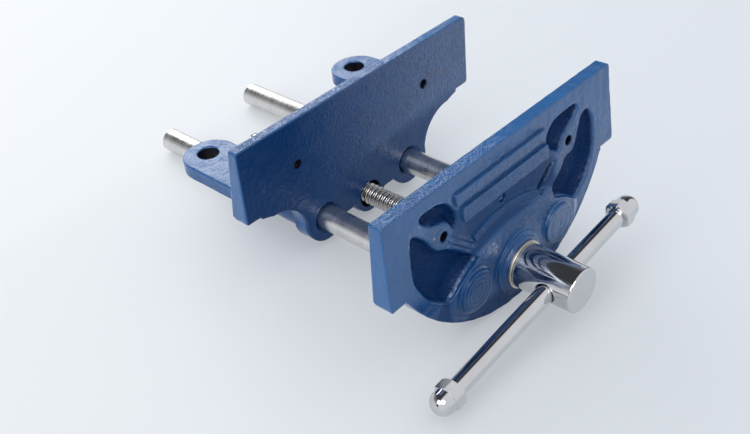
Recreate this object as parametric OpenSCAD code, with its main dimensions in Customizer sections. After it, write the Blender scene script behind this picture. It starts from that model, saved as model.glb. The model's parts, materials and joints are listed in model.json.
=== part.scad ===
// Woodworking bench vise: a rear jaw casting that bolts under the bench top, and a front jaw
// that slides towards it on two guide bars when the lead screw is turned by its handle.
// Origin: midway between the two bench bolt holes, on the top of the ears.
// X runs along the jaws, Y points away from the handle, Z is up. All lengths in millimetres.

/* [Jaws] */
// Width of both jaws along their top edges
jaw_w = 175; // [165:1:200]
// Opening between the jaws as drawn
opening = 85; // [40:1:150]
// Clamp face of the rear jaw to the line of the bench bolts
seat_depth = 64; // [60:1:80]
// Height of the rear jaw above the bench seat
rear_top = 38; // [34:1:46]
// Height of the front jaw above the bench seat
front_top = 35; // [32:1:44]
// Height of the rear plate at its ends
rear_plate_h = 44; // [41:0.5:48]
// Height of the front plate at its ends
front_plate_h = 46; // [42:0.5:48]
// Thickness of the rear plate at its top edge
rear_plate_t = 6; // [5:0.5:7]
// Thickness of the front plate at its top edge
front_plate_t = 7.5; // [6:0.5:10]
// Slope of the rear plate's back, in degrees
rear_draft = 7; // [4:0.5:8]
// Slope of the front plate's outer face, in degrees
front_draft = 5.2; // [3:0.2:7]
// Step from the plates' ends in to the lower castings
end_step = 9.8; // [8:0.2:12]
// Radius of the plates' upper corners
corner_r = 2; // [1:0.5:4]
// Radius of the plates' lower corners
foot_corner_r = 4; // [2:0.5:6]
// How far the rear plate's ends spread from top to bottom
rear_spread = 0.8; // [0:0.2:2]
// How far the front plate's ends spread from top to bottom
front_spread = 1.8; // [0:0.2:2.6]
// Radius that rounds the ends of the rear plate's lower edge, at the back
rear_under_r = 6; // [3:0.5:6]
// Radius that rounds the ends of the front plate's lower edge, on its clamp side
front_under_r = 6; // [2:0.5:6]
// Radius on the other side of both lower edges
lip_r = 3; // [1:0.5:3]

/* [Lower castings] */
// Depth of the front jaw below the bench seat
front_depth = 56.5; // [53:0.5:62]
// Set-back of the front jaw's lower casting from its clamp face
front_recess = 3.5; // [2.5:0.1:6]
// Thickness of the rear jaw's lower casting
rear_apron_t = 12; // [10:0.5:15]
// Radius of the sweeps that waist the rear casting
sweep_r = 22; // [18:0.5:23]
// Radius of the two lobes round the guide bars
lobe_r = 14.3; // [12.5:0.1:15]
// Depth of the pockets in the front jaw's outer face
pocket_d = 4; // [2:0.5:4.5]
// Height of the plain raised bands on the outer face
band_h = 0.7; // [0.3:0.1:1.2]
// Inner radius of the curved band over the pad
band_r = 66; // [60:1:72]
// Width of the curved band
band_w = 4.4; // [3:0.2:5]
// Top of the curved band above the bench seat
band_top = 2.4; // [1.4:0.2:3.4]
// Top of the pad round the bosses, below the bench seat
pad_top = 8; // [7:0.5:9]
// Radius of the pad's ends, round the guide bars
pad_end_r = 17; // [15:0.5:18]
// Face of the pad, from the clamp face
pad_out = 14.5; // [14:0.5:15.5]
// Face of the screw's boss, from the clamp face
boss_out = 18; // [17:0.5:21]
// Face of the guide bars' bosses, from the clamp face
bar_boss_out = 16.8; // [16:0.1:18]
// Diameter of the guide bars' bosses
bar_boss_d = 22.6; // [20:0.2:26]

/* [Liner screw holes] */
// Distance between the two holes in each jaw
liner_pitch = 99; // [94:1:104]
// Hole centres below each jaw's top edge
liner_drop = 26.2; // [24:0.2:28]
// Hole diameter
liner_d = 5.3; // [4:0.1:6]

/* [Bench mounting] */
// Distance between the two bench bolt holes
bolt_pitch = 118; // [112:1:124]
// Bench bolt hole diameter
bolt_d = 12; // [9:0.5:13]
// Width of each ear
ear_w = 31; // [26:1:33]
// Thickness of the ears
ear_t = 8; // [6:0.5:9]
// Ear beyond the bolt line
ear_over = 13.5; // [11:0.5:16]
// Back edge of the web between the ears, in front of the bolt line
web_back = 30; // [26:1:38]
// Fillet between the ears and the web
web_fillet = 10; // [4:1:14]

/* [Guide bars] */
// Diameter of the guide bars
bar_d = 14; // [12:0.5:15]
// Distance between the guide bars
bar_pitch = 68; // [66:1:70]
// Guide bar centres below the bench seat
bar_drop = 31; // [30:0.5:33]
// Guide bars beyond the bolt line
bar_back = 75; // [60:1:110]
// Outer diameter of the guide tubes
tube_d = 23; // [20:0.5:25]
// Back ends of the guide tubes, in front of the bolt line
tube_back = 2; // [0:1:12]
// Radial clearance of the bars in their tubes
slide_clear = 0.1; // [0.05:0.01:0.1]
// Diameter of the bars' riveted spigots
spigot_d = 10; // [8:0.5:11]
// Depth of the sockets that the bars' shoulders sit in
socket_d = 4; // [2:0.5:6]
// Width of the ribs from the ears to the tubes
rib_w = 7; // [5:0.5:9]

/* [Screw] */
// Diameter of the lead screw
screw_d = 12; // [12:0.5:14]
// Pitch of its thread
pitch = 3; // [2.5:0.5:4]
// Depth of its thread
thread_h = 1.6; // [1:0.1:1.8]
// Screw centre below the bench seat
screw_drop = 35; // [34:0.5:37]
// Screw beyond the bolt line
screw_back = 36; // [25:1:60]
// Radial clearance of the screw in the front jaw
screw_clear = 0.1; // [0.05:0.01:0.1]
// Clearance between the threads of the screw and the nut
thread_clear = 0.2; // [0.16:0.01:0.3]
// Outer diameter of the nut
nut_d = 17; // [16.5:0.5:18]
// Length of the nut behind the rear jaw's face plate
nut_len = 26; // [20:1:32]
// Flange diameter of the nut
nut_flange_d = 21; // [20:0.5:23]
// Flange thickness of the nut
nut_flange_t = 3; // [2:0.5:4]
// Outer diameter of the nut's housing
housing_d = 22; // [21:0.5:24]

/* [Thrust parts] */
// Diameter of the brass washer
washer_d = 26; // [25:0.5:30]
// Thickness of the brass washer
washer_t = 1.5; // [1:0.1:2.5]
// Diameter of the retaining collar
collar_d = 20; // [18:0.5:22]
// Thickness of the retaining collar
collar_t = 6; // [5:0.1:6]
// Seat of the retaining collar, behind the clamp face
collar_seat = 7; // [6.8:0.1:8]
// End play of the collar
end_play = 0.3; // [0.2:0.1:0.4]
// Diameter of the collar's pin
collar_pin_d = 3; // [2:0.5:4]

/* [Head and handle] */
// Diameter of the screw's head
head_d = 24; // [21:0.5:26]
// Length of the screw's head
head_len = 33; // [31:0.5:40]
// Handle centre line from the head's inner face
cross_pos = 19; // [18.5:0.5:20]
// Chamfer on the head's ends
head_chamfer = 0.8; // [0.3:0.1:1.5]
// Depth of the screw's seat in the head
seat_len = 12; // [10:0.5:12]
// Diameter of the head's pin
head_pin_d = 4; // [3:0.5:5]
// Diameter of the handle bar
handle_d = 9.5; // [9:0.5:10]
// Length of the handle bar between its nuts
handle_len = 133; // [110:1:170]
// How far the handle has slid through the head
handle_slid = -14.5; // [-40:0.5:25]
// Turn of the head and handle about the screw, in degrees
handle_turn = 7.75; // [0:0.25:180]
// Radial clearance of the handle bar in the head
handle_clear = 0.3; // [0.2:0.05:0.4]
// Thread diameter of the handle's ends
stud_d = 8; // [6:0.5:8.5]
// Thread length of the handle's ends
stud_len = 10; // [6:0.5:11]
// Cap nuts across their flats
nut_af = 13; // [12.5:0.5:15]
// Height of the cap nuts' hexagon
nut_hex_h = 6.5; // [5:0.5:8]
// Height of the cap nuts with their domes
nut_h = 15; // [14:0.5:17]
// Radius of the domes
dome_r = 6.35; // [6:0.05:6.4]

/* [Hidden] */
$fn = 96;

blue = [0.07, 0.2, 0.42];
steel = [0.75, 0.76, 0.78];
chrome = [0.87, 0.88, 0.9];
brass = [0.78, 0.62, 0.3];

// Planes across the Y axis, from the back to the handle
rear_face = -seat_depth;
front_face = rear_face - opening;
front_inner = front_face - front_recess;
boss_face = front_face - boss_out;
bar_boss_face = front_face - bar_boss_out;
head_start = boss_face - washer_t;
head_end = head_start - head_len;
cross_y = head_start - cross_pos;
collar_start = front_face - collar_seat + end_play;
tube_end = -tube_back;

// Heights
bar_z = -bar_drop;
screw_z = -screw_drop;
rear_low = rear_top - rear_plate_h;
front_low = front_top - front_plate_h;

// Half widths
half_w = jaw_w / 2;
step_x = half_w - end_step;
bar_x = bar_pitch / 2;
ear_x = bolt_pitch / 2;

// Outer face of the front jaw: its thickness grows downwards
function front_out(z) = front_face - front_plate_t - (front_top - z) * tan(front_draft);
function rear_out(z) = rear_face + rear_plate_t + (rear_top - z) * tan(rear_draft);

// Arc under the front jaw, through the two steps and the lowest point
arc_c = (step_x * step_x + front_low * front_low - front_depth * front_depth)
        / (2 * (front_low + front_depth));
arc_r = arc_c + front_depth;

// Sweeps of the rear casting: each touches its lobe and ends under the plate
sweep_x = bar_x + lobe_r + sweep_r - 0.3;
sweep_top = bar_z + sweep_r;

// Plain end of the screw before its thread starts
thread_start = 2;

// Floor of the rear casting between its lobes, below the guide bars' centres
valley_drop = 5.3;

small = 0.01;

// Points on a circle of radius r about c from angle a to angle b
function arc(c, r, a, b, n = 8) = [for (i = [0:n]) c + r * [cos(a + (b - a) * i / n), sin(a + (b - a) * i / n)]];

function unit(v) = v / norm(v);

// Corner b between a and c, rounded to the radius r
function fillet(a, b, c, r, n = 4) =
    let (u = unit(a - b), v = unit(c - b), half = acos(u * v) / 2)
    let (m = b + unit(u + v) * r / sin(half))
    let (p = b + u * r / tan(half) - m, q = b + v * r / tan(half) - m)
    let (start = atan2(p[1], p[0]), turn = atan2(p[0] * q[1] - p[1] * q[0], p * q))
    arc(m, r, start, start + turn, n);

// Outline with all its corners rounded to the radius r, or each to its own of a list
function rounded(pts, r) = [
    for (i = [0:len(pts) - 1])
        each fillet(pts[(i + len(pts) - 1) % len(pts)], pts[i], pts[(i + 1) % len(pts)], is_list(r) ? r[i] : r)
];

// Outline in X and Z, made into a slab from y0 to y1
module slab(y0, y1) {
    translate([0, y1, 0]) rotate([90, 0, 0]) linear_extrude(y1 - y0) children();
}

// Outline in Y and Z, made into a bar of width w, centred on x
module across(x, w) {
    translate([x - w / 2, 0, 0]) rotate([90, 0, 90]) linear_extrude(w) children();
}

// Cylinder along Y from y0 to y1
module rod(y0, y1, d, d2 = -1) {
    translate([0, y1, 0]) rotate([90, 0, 0])
        cylinder(h = y1 - y0, d1 = d, d2 = d2 < 0 ? d : d2);
}

// Outline drawn on the front jaw's sloping outer face, from depth below it to height above it;
// its second coordinate is the height above the bench seat
module on_face(below, above) {
    translate([0, front_out(0), 0]) rotate([90 - front_draft, 0, 0])
        translate([0, 0, -below]) linear_extrude(below + above) children();
}

module mirrored() {
    children();
    mirror([1, 0, 0]) children();
}

module at_screw() {
    translate([0, 0, screw_z]) children();
}

// Frame of the handle: along X is the bar, turned with the screw
module at_handle() {
    translate([0, cross_y, screw_z]) rotate([0, -handle_turn, 0]) children();
}

module plate_outline(top, low, spread) {
    wide = half_w + spread;
    polygon(rounded([[-wide, low], [wide, low], [half_w, top], [-half_w, top]],
                    [foot_corner_r, foot_corner_r, corner_r, corner_r]));
}

// What the rounded lower edge takes off a plate's ends. Its section has the corners a and d at the top
// and b and c at the foot, where b gets the radius r and c the smaller one.
module end_rounding(a, b, c, d, r) {
    wall = norm(c - b);
    mirrored() across(step_x + jaw_w / 4, jaw_w / 2) difference() {
        translate([min(b[0], c[0]) - 1, b[1] - 1]) square([wall + 2, wall]);
        polygon(concat([a], fillet(a, b, c, min(r, 0.55 * wall), 10),
                       fillet(b, c, d, min(lip_r, 0.3 * wall), 6), [d]));
    }
}

// Rear jaw casting

module rear_plate() {
    section = [[rear_out(rear_top), rear_top], [rear_out(rear_low), rear_low],
               [rear_face, rear_low], [rear_face, rear_top]];
    difference() {
        intersection() {
            slab(rear_face, rear_out(rear_low)) plate_outline(rear_top, rear_low, rear_spread);
            across(0, 2 * jaw_w) polygon(section);
        }
        end_rounding(section[0], section[1], section[2], section[3], rear_under_r);
    }
}

// Lower part of the rear casting: waisted by two sweeps, with a lobe for each bar
module apron_outline() {
    valley = bar_z - valley_drop;
    difference() {
        polygon([[-step_x, rear_low + 3], [-step_x, rear_low], [-sweep_x, sweep_top], [-sweep_x, bar_z],
                 [-bar_x, bar_z], [-bar_x, valley], [bar_x, valley], [bar_x, bar_z],
                 [sweep_x, bar_z], [sweep_x, sweep_top], [step_x, rear_low], [step_x, rear_low + 3]]);
        mirrored() translate([sweep_x, bar_z]) circle(sweep_r);
    }
    mirrored() translate([bar_x, bar_z]) circle(lobe_r);
    translate([0, screw_z]) circle(d = housing_d);
}

// Bench flange: two ears with round ends and the web between them
module flange_outline() {
    front = rear_face + rear_apron_t - 1;
    inner = ear_x - ear_w / 2;
    mirrored() {
        translate([ear_x, ear_over - ear_w / 2]) circle(d = ear_w);
        translate([inner, front]) square([ear_w, ear_over - ear_w / 2 - front]);
        difference() {
            translate([inner - web_fillet, -web_back - 1]) square(web_fillet + 1);
            translate([inner - web_fillet, -web_back + web_fillet]) circle(web_fillet);
        }
    }
    translate([-inner - 1, front]) square([2 * inner + 2, -web_back - front]);
}

// Rib in the plane of a guide bar, from the web down to the tube
module rib() {
    back = tube_end - 6;
    across(bar_x, rib_w) polygon([
        [rear_face + rear_apron_t - 1, -ear_t + small], [-web_back, -ear_t + small],
        [back, bar_z + tube_d / 2 - 1], [back, bar_z], [rear_face + rear_apron_t - 1, bar_z]]);
}

module rear_jaw() {
    housing_end = rear_face + rear_apron_t + nut_len - nut_flange_t;
    bore_end = tube_end + 1;
    color(blue) difference() {
        union() {
            rear_plate();
            slab(rear_face, rear_face + rear_apron_t) apron_outline();
            translate([0, 0, -ear_t]) linear_extrude(ear_t) flange_outline();
            mirrored() {
                rib();
                translate([bar_x, 0, bar_z]) rod(rear_face + 1, tube_end, tube_d);
            }
            at_screw() rod(rear_face + 1, housing_end, housing_d);
            // Web that carries the housing from the flange above it
            across(0, rib_w) polygon([
                [rear_face + 1, -ear_t + small], [-web_back, -ear_t + small],
                [housing_end - 1, screw_z + housing_d / 4], [rear_face + 1, screw_z + housing_d / 4]]);
        }
        mirrored() {
            // Guide bar bore with a wide mouth in the clamp face
            translate([bar_x, 0, bar_z]) {
                rod(rear_face - 1, bore_end, bar_d + 2 * slide_clear);
                rod(rear_face - small, rear_face + 2, bar_d + 2 * slide_clear, bar_d + 5);
            }
            translate([ear_x, 0, -ear_t - 1]) cylinder(h = ear_t + 2, d = bolt_d);
            translate([liner_pitch / 2, 0, rear_top - liner_drop])
                rod(rear_face - 1, rear_face + rear_apron_t + 2, liner_d);
        }
        at_screw() {
            rod(rear_face - 1, rear_face + rear_apron_t, screw_d + 4);
            rod(rear_face + rear_apron_t - small, housing_end + 1, nut_d + 0.1);
        }
        set_screw_place() cylinder(h = housing_d, d = set_screw_d + 0.1);
    }
}

// Threaded bush that the lead screw runs in, in step with the screw's own thread
module screw_nut() {
    start = rear_face + rear_apron_t;
    end = start + nut_len;
    // Whole turns from the screw's back end to just past the nut
    skip = ceil((screw_back - end) / pitch) - 3;
    turns = ceil(nut_len / pitch) + 4;
    color(steel) difference() {
        at_screw() {
            rod(start + small, end, nut_d);
            rod(end - nut_flange_t, end, nut_flange_d);
        }
        at_screw() translate([0, screw_back - skip * pitch, 0]) rotate([90, 0, 0])
            thread(turns, (turns + 2) * pitch, thread_clear);
        set_screw_place() cylinder(h = housing_d, d = set_screw_d + 0.1);
    }
}

// Grub screw beside the web, which keeps the nut from turning
set_screw_d = 5;
set_screw_len = 5;
set_dimple = 1.2;

module set_screw_place() {
    translate([0, rear_face + rear_apron_t + nut_len / 2, screw_z]) rotate([0, 60, 0])
        translate([0, 0, nut_d / 2 - set_dimple]) children();
}

module nut_set_screw() {
    color(steel) set_screw_place() difference() {
        translate([0, 0, small]) cylinder(h = set_screw_len, d = set_screw_d);
        translate([0, 0, set_screw_len - 2]) cylinder(h = 3, d = set_screw_d / 2, $fn = 6);
    }
}

// Front jaw casting

// Clamp plate, and the disc's segment that hangs below it between the end steps
module front_outline() {
    plate_outline(front_top, front_low, front_spread);
    difference() {
        translate([0, arc_c]) circle(arc_r, $fn = 180);
        translate([-arc_r, front_low]) square([2 * arc_r, arc_c + arc_r]);
    }
    translate([-step_x + 2, front_low - 2]) square([2 * step_x - 4, 4]);
}

module front_body() {
    foot = -front_depth - 1;
    difference() {
        intersection() {
            slab(front_out(foot) - 1, front_face) front_outline();
            // Upright clamp face and sloping outer face
            across(0, 2 * jaw_w) polygon([[front_face, front_top], [front_out(front_top), front_top],
                                          [front_out(foot), foot], [front_face, foot]]);
        }
        // Set-back of the lower casting between the end steps
        across(0, 2 * step_x) polygon([
            [front_inner, foot - 1], [front_inner, front_low + 1],
            [front_face + 1, front_low + front_recess + 2], [front_face + 1, foot - 1]]);
        end_rounding([front_face, front_top], [front_face, front_low],
                     [front_out(front_low), front_low], [front_out(front_top), front_top], front_under_r);
    }
}

// Raised pad round the three bosses, set in from the lower arc. Its top is a flat arch that
// touches its round ends.
pad_margin = 2.5;
pad_rise = bar_drop - pad_top;
arch_r = (bar_x * bar_x + pad_rise * pad_rise - pad_end_r * pad_end_r) / (2 * (pad_rise - pad_end_r));
touch_x = bar_x * arch_r / (arch_r - pad_end_r);

module pad_outline() {
    intersection() {
        translate([0, arc_c]) circle(arc_r - pad_margin, $fn = 180);
        union() {
            mirrored() translate([bar_x, bar_z]) circle(pad_end_r);
            intersection() {
                translate([0, -pad_top - arch_r]) circle(arch_r, $fn = 180);
                translate([-touch_x, -front_depth]) square([2 * touch_x, front_depth]);
            }
        }
    }
}

// Pockets in the outer face: one on each side, and others that are the right and the left side's
lower_pocket = [[67.5, 19.5], [72, 12], [71.5, -7], [63.5, -20.5], [53, -28], [47, -23.5], [41, -19.2],
                [31.5, -15], [31, -9.5], [41, -5], [46, 1.5], [53, 1.5], [57, 9], [61, 18]];
right_pocket = [[58, 27], [59, 21.5], [50, 15.5], [43, 11], [41.5, 5.5], [33.5, 11], [30.5, 17],
                [33, 23], [40, 26.5]];
slant_pocket = [[38.5, 3.5], [32, 4.5], [20, -4], [22.5, -8.5], [30, -5]];
left_pocket = [[-64, 27.5], [-64, 23.5], [-57, 17], [-46.5, 15], [-42.5, 8.5], [-38.5, 10],
               [-38.5, 16], [-43.5, 24], [-52, 27.5]];

// Plain raised bands: two straight ones, and a curved one over the pad
upper_band = [[-40, 20], [29, 20], [29, 26], [-40, 26]];
middle_band = [[-36, 9], [31, 9], [31, 17], [-36, 17]];
band_x = -8;
band_from = 109;
band_to = 66;
band_c = [band_x, band_top - band_r - band_w];
curved_band = concat(arc(band_c, band_r, band_from, band_to, 12),
                     arc(band_c, band_r + band_w, band_to, band_from, 12));

module front_jaw() {
    color(blue) difference() {
        union() {
            front_body();
            slab(front_face - pad_out, front_inner) pad_outline();
            mirrored() translate([bar_x, 0, bar_z]) rod(bar_boss_face, front_inner, bar_boss_d);
            at_screw() rod(boss_face, front_inner, washer_d + 4);
            on_face(1, band_h) {
                polygon(rounded(upper_band, 1.5));
                polygon(rounded(middle_band, 1.5));
                polygon(curved_band);
            }
        }
        mirrored() on_face(pocket_d, 4) polygon(rounded(lower_pocket, 1.8));
        on_face(pocket_d, 4) {
            polygon(rounded(right_pocket, 1.6));
            polygon(rounded(slant_pocket, 1.2));
            polygon(rounded(left_pocket, 1.2));
        }
        // Small pit between the two bands
        on_face(2, 4) translate([-6.5, 6]) circle(d = 5);
        mirrored() {
            translate([liner_pitch / 2, 0, front_top - liner_drop])
                rod(boss_face - 1, front_face + 1, liner_d);
            translate([bar_x, 0, bar_z]) {
                rod(front_inner - socket_d, front_inner + 1, bar_d + 0.1);
                rod(bar_boss_face - 1, front_inner, spigot_d + 0.1);
            }
        }
        at_screw() {
            rod(boss_face - 1, front_inner + 1, screw_d + 2 * screw_clear);
            // Seat of the retaining collar
            rod(front_face - collar_seat, front_face + 1, collar_d + 1);
        }
    }
}

module guide_bar(x) {
    shoulder = front_inner - socket_d + small;
    color(steel) translate([x, 0, bar_z]) {
        rod(bar_boss_face, shoulder + 1, spigot_d);
        rod(shoulder, bar_back - 1, bar_d);
        rod(bar_back - 1 - small, bar_back, bar_d - 2, bar_d);
    }
}

module guide_bar_left() {
    guide_bar(-bar_x);
}

module guide_bar_right() {
    guide_bar(bar_x);
}

module thrust_washer() {
    color(brass) at_screw() difference() {
        rod(head_start + small, boss_face - small, washer_d);
        rod(head_start - 1, boss_face + 1, screw_d + 4 * screw_clear);
    }
}

// Thread as one closed surface of flat triangles, n steps to the turn. Each step has four points:
// the foot and the crest of one flank, then the crest and the foot of the other. The root
// continues plain to both ends of the length.
module thread(turns, length, grow = 0, n = 16) {
    crest = screw_d / 2 + grow;
    foot = screw_d / 2 - thread_h + grow;
    side = grow / pitch;
    profile = [[foot, -side], [crest, 0.14 - side], [crest, 0.5 + side], [foot, 0.64 + side]];
    steps = turns * n;
    function at(i, p) = [p[0] * cos(360 * i / n), p[0] * sin(360 * i / n), thread_start + pitch * (i / n + p[1])];
    helix = [for (i = [0:steps], p = profile) at(i, p)];
    tail = [for (i = [1:n]) at(steps + i, profile[0])];
    low = [for (i = [0:n - 1]) [foot * cos(360 * i / n), foot * sin(360 * i / n), 0]];
    high = [for (p = low) [p[0], p[1], length]];
    tail_at = len(helix);
    low_at = tail_at + n;
    high_at = low_at + n;
    // Index of the first foot i steps from the start, which past the helix lies on the tail
    function foot_at(i) = i <= steps ? 4 * i : tail_at + i - steps - 1;
    // Two triangles between the points a and b of one column and c and d of the next
    function strip(a, b, c, d) = [[a, b, d], [a, d, c]];
    faces = concat(
        [for (i = [0:steps - 1], k = [0:2])
            each strip(4 * i + k, 4 * i + k + 1, 4 * i + k + 4, 4 * i + k + 5)],
        [for (i = [0:steps - 1]) each strip(4 * i + 3, foot_at(i + n), 4 * i + 7, foot_at(i + n + 1))],
        // Root below the first turn, and the blunt start of the thread
        [for (i = [0:n - 2]) each strip(low_at + i, foot_at(i), low_at + i + 1, foot_at(i + 1))],
        [[low_at + n - 1, foot_at(n - 1), low_at], [low_at, foot_at(n - 1), 0],
         [0, foot_at(n - 1), 3], [3, foot_at(n - 1), foot_at(n)], [0, 3, 2], [0, 2, 1]],
        // Root above the last turn, and the blunt end of the thread
        [for (i = [1:n - 1])
            each strip(foot_at(steps + i), high_at + i, foot_at(steps + i + 1), high_at + (i + 1) % n)],
        [for (edge = [[4 * steps, 4 * steps + 3], [4 * steps + 3, foot_at(steps + n)],
                      [foot_at(steps + n), high_at], [high_at, high_at + 1]])
            [edge[0], edge[1], foot_at(steps + 1)]],
        [[4 * steps, 4 * steps + 1, 4 * steps + 2], [4 * steps, 4 * steps + 2, 4 * steps + 3]],
        [[for (i = [0:n - 1]) low_at + i], [for (i = [n - 1:-1:0]) high_at + i]]);
    polyhedron(points = concat(helix, tail, low, high), faces = faces);
}

module lead_screw() {
    plain_end = collar_start + collar_t + 0.2;
    color(steel) difference() {
        at_screw() {
            rod(head_start - seat_len, plain_end, screw_d);
            translate([0, screw_back, 0]) rotate([90, 0, 0])
                thread(floor((screw_back - plain_end - 4) / pitch) - 1, screw_back - plain_end + 1);
        }
        head_pin_place() cylinder(h = head_pin_len + 0.2, d = head_pin_d + 0.06);
        collar_pin_place(0.5) cylinder(h = collar_d + 1, d = collar_pin_d + 0.06);
    }
}

// Pin from below, through one wall of the head and the screw's seat
head_pin_len = 16;

module head_pin_place() {
    translate([0, head_start - seat_len / 2, screw_z]) rotate([0, -handle_turn, 0])
        translate([0, 0, -head_d / 2 + 0.3]) children();
}

module head_pin() {
    color(steel) head_pin_place() cylinder(h = head_pin_len, d = head_pin_d);
}

module screw_head() {
    color(chrome) difference() {
        at_screw() {
            rod(head_end + head_chamfer, head_start - head_chamfer, head_d);
            rod(head_end, head_end + head_chamfer + small, head_d, head_d - 2 * head_chamfer);
            rod(head_start - head_chamfer - small, head_start, head_d - 2 * head_chamfer, head_d);
        }
        at_screw() rod(head_start - seat_len - small, head_start + 1, screw_d + 0.06);
        at_handle() translate([-head_d, 0, 0]) rotate([0, 90, 0])
            cylinder(h = 2 * head_d, d = handle_d + 2 * handle_clear);
        head_pin_place() translate([0, 0, -2]) cylinder(h = head_pin_len + 2.2, d = head_pin_d + 0.06);
    }
}

module collar_pin_place(extra) {
    translate([0, collar_start + collar_t / 2, screw_z - collar_d / 2 + 0.5 - extra]) children();
}

module retaining_collar() {
    color(steel) difference() {
        at_screw() rod(collar_start, collar_start + collar_t, collar_d);
        at_screw() rod(collar_start - 1, collar_start + collar_t + 1, screw_d + 0.06);
        collar_pin_place(1) cylinder(h = collar_d + 2, d = collar_pin_d + 0.06);
    }
}

module collar_pin() {
    color(steel) collar_pin_place(0) cylinder(h = collar_d - 1, d = collar_pin_d);
}

// Handle bar: turned down at both ends for the cap nuts
module handle_bar() {
    color(chrome) at_handle() translate([handle_slid - handle_len / 2, 0, 0]) rotate([0, 90, 0]) {
        cylinder(h = handle_len, d = handle_d);
        translate([0, 0, -stud_len]) cylinder(h = handle_len + 2 * stud_len, d = stud_d);
    }
}

// Domed cap nut with its seat at the origin, pointing up
module cap_nut() {
    corner = nut_af / cos(30) / 2;
    color(chrome) difference() {
        union() {
            intersection() {
                cylinder(h = nut_hex_h, r = corner, $fn = 6);
                translate([0, 0, -small]) cylinder(h = nut_hex_h + 2, r1 = nut_af / 2, r2 = nut_af / 2 + nut_hex_h);
                cylinder(h = nut_hex_h, r1 = nut_af / 2 + nut_hex_h, r2 = nut_af / 2);
            }
            translate([0, 0, nut_hex_h - 1]) cylinder(h = nut_h - dome_r - nut_hex_h + 1, r = dome_r);
            translate([0, 0, nut_h - dome_r]) sphere(dome_r);
        }
        translate([0, 0, -1]) cylinder(h = stud_len + 1.5, d = stud_d + 0.1);
    }
}

module cap_nut_left() {
    at_handle() translate([handle_slid - handle_len / 2, 0, 0]) rotate([0, -90, 0]) cap_nut();
}

module cap_nut_right() {
    at_handle() translate([handle_slid + handle_len / 2, 0, 0]) rotate([0, 90, 0]) cap_nut();
}

rear_jaw();
screw_nut();
nut_set_screw();
front_jaw();
guide_bar_left();
guide_bar_right();
thrust_washer();
lead_screw();
screw_head();
head_pin();
retaining_collar();
collar_pin();
handle_bar();
cap_nut_left();
cap_nut_right();
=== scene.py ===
import json

import bmesh
import bpy
import numpy as np
from bpy.props import FloatProperty, FloatVectorProperty, IntProperty, PointerProperty
from mathutils import Matrix, Vector


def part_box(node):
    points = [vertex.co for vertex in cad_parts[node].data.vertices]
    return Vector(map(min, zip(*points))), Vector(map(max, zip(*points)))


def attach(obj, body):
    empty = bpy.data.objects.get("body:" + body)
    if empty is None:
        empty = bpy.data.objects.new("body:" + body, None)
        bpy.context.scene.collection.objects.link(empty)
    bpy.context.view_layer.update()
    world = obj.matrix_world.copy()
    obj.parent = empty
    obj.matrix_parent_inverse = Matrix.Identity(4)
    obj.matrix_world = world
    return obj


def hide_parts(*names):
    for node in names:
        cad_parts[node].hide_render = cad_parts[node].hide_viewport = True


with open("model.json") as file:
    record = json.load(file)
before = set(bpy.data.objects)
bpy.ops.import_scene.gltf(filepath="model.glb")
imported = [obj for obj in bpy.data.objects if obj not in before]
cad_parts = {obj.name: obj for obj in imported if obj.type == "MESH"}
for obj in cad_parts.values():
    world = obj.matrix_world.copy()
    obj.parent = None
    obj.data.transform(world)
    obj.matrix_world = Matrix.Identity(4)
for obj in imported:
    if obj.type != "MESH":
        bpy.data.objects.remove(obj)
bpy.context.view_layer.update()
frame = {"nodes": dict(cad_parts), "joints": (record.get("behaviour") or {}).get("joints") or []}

bl_info = {
    "name": "Woodworking Bench Vise",
    "version": (1, 0, 0),
    "blender": (4, 5, 0),
    "location": "3D View > Sidebar > Vise",
    "description": "Enamelled jaw castings, ground guide bars, lead screw, plated head and handle",
    "category": "Add Mesh",
}

MM = 0.001


def limits(node):
    """Lowest and highest corner of a CAD node in millimetres."""
    low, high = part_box(node)
    return np.array(low) / MM, np.array(high) / MM


def joint_axis(name):
    """Direction of a CAD joint."""
    axis = next(j for j in frame["joints"] if j["name"] == name)["axis"]
    return np.array(axis, float) / np.linalg.norm(axis)


# Places that the CAD model gives, in millimetres
FRONT_LOW, FRONT_HIGH = limits("front_jaw")
REAR_LOW, REAR_HIGH = limits("rear_jaw")
BAR_LOW, BAR_HIGH = limits("guide_bar_right")
SCREW_LOW, SCREW_HIGH = limits("lead_screw")
HEAD_LOW, HEAD_HIGH = limits("screw_head")
WASHER_LOW, WASHER_HIGH = limits("thrust_washer")
HANDLE_LOW, HANDLE_HIGH = limits("handle_bar")
NUT_HIGH = limits("screw_nut")[1]

HALF_W = 87.5
CLAMP_FRONT = FRONT_HIGH[1]
CLAMP_REAR = REAR_LOW[1]
BOSS_FACE = FRONT_LOW[1]
FRONT_PAD_TOP = -8.0
FRONT_TOP, FRONT_BOTTOM = FRONT_HIGH[2], FRONT_LOW[2]
REAR_TOP = REAR_HIGH[2]
BAR_X = (BAR_LOW[0] + BAR_HIGH[0]) / 2
BAR_Z = (BAR_LOW[2] + BAR_HIGH[2]) / 2
BAR_R = (BAR_HIGH[0] - BAR_LOW[0]) / 2
SCREW_Z = (SCREW_LOW[2] + SCREW_HIGH[2]) / 2
SCREW_R = (SCREW_HIGH[0] - SCREW_LOW[0]) / 2
HANDLE_AXIS = joint_axis("handle_slide")
HANDLE_MID = (HANDLE_LOW + HANDLE_HIGH) / 2

# Places measured on the photograph, in millimetres: the holes for wooden cheeks (across, below the top, radius), the
# bolt holes in the ears, the radii of the lower castings' edges and the rear plate's height, and the curved band
LINER_X, LINER_DROP, LINER_R = 49.5, 26.2, 2.65
BOLT_X, BOLT_R, EAR_R = 59.0, 6.0, 15.5
FOOT_R, LIP_R, REAR_PLATE_H = 6.0, 3.0, 44.0
BAND_CENTRE, BAND_IN, BAND_OUT = (-8.0, -68.0), 66.0, 70.4


# Sizes and colours

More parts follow.
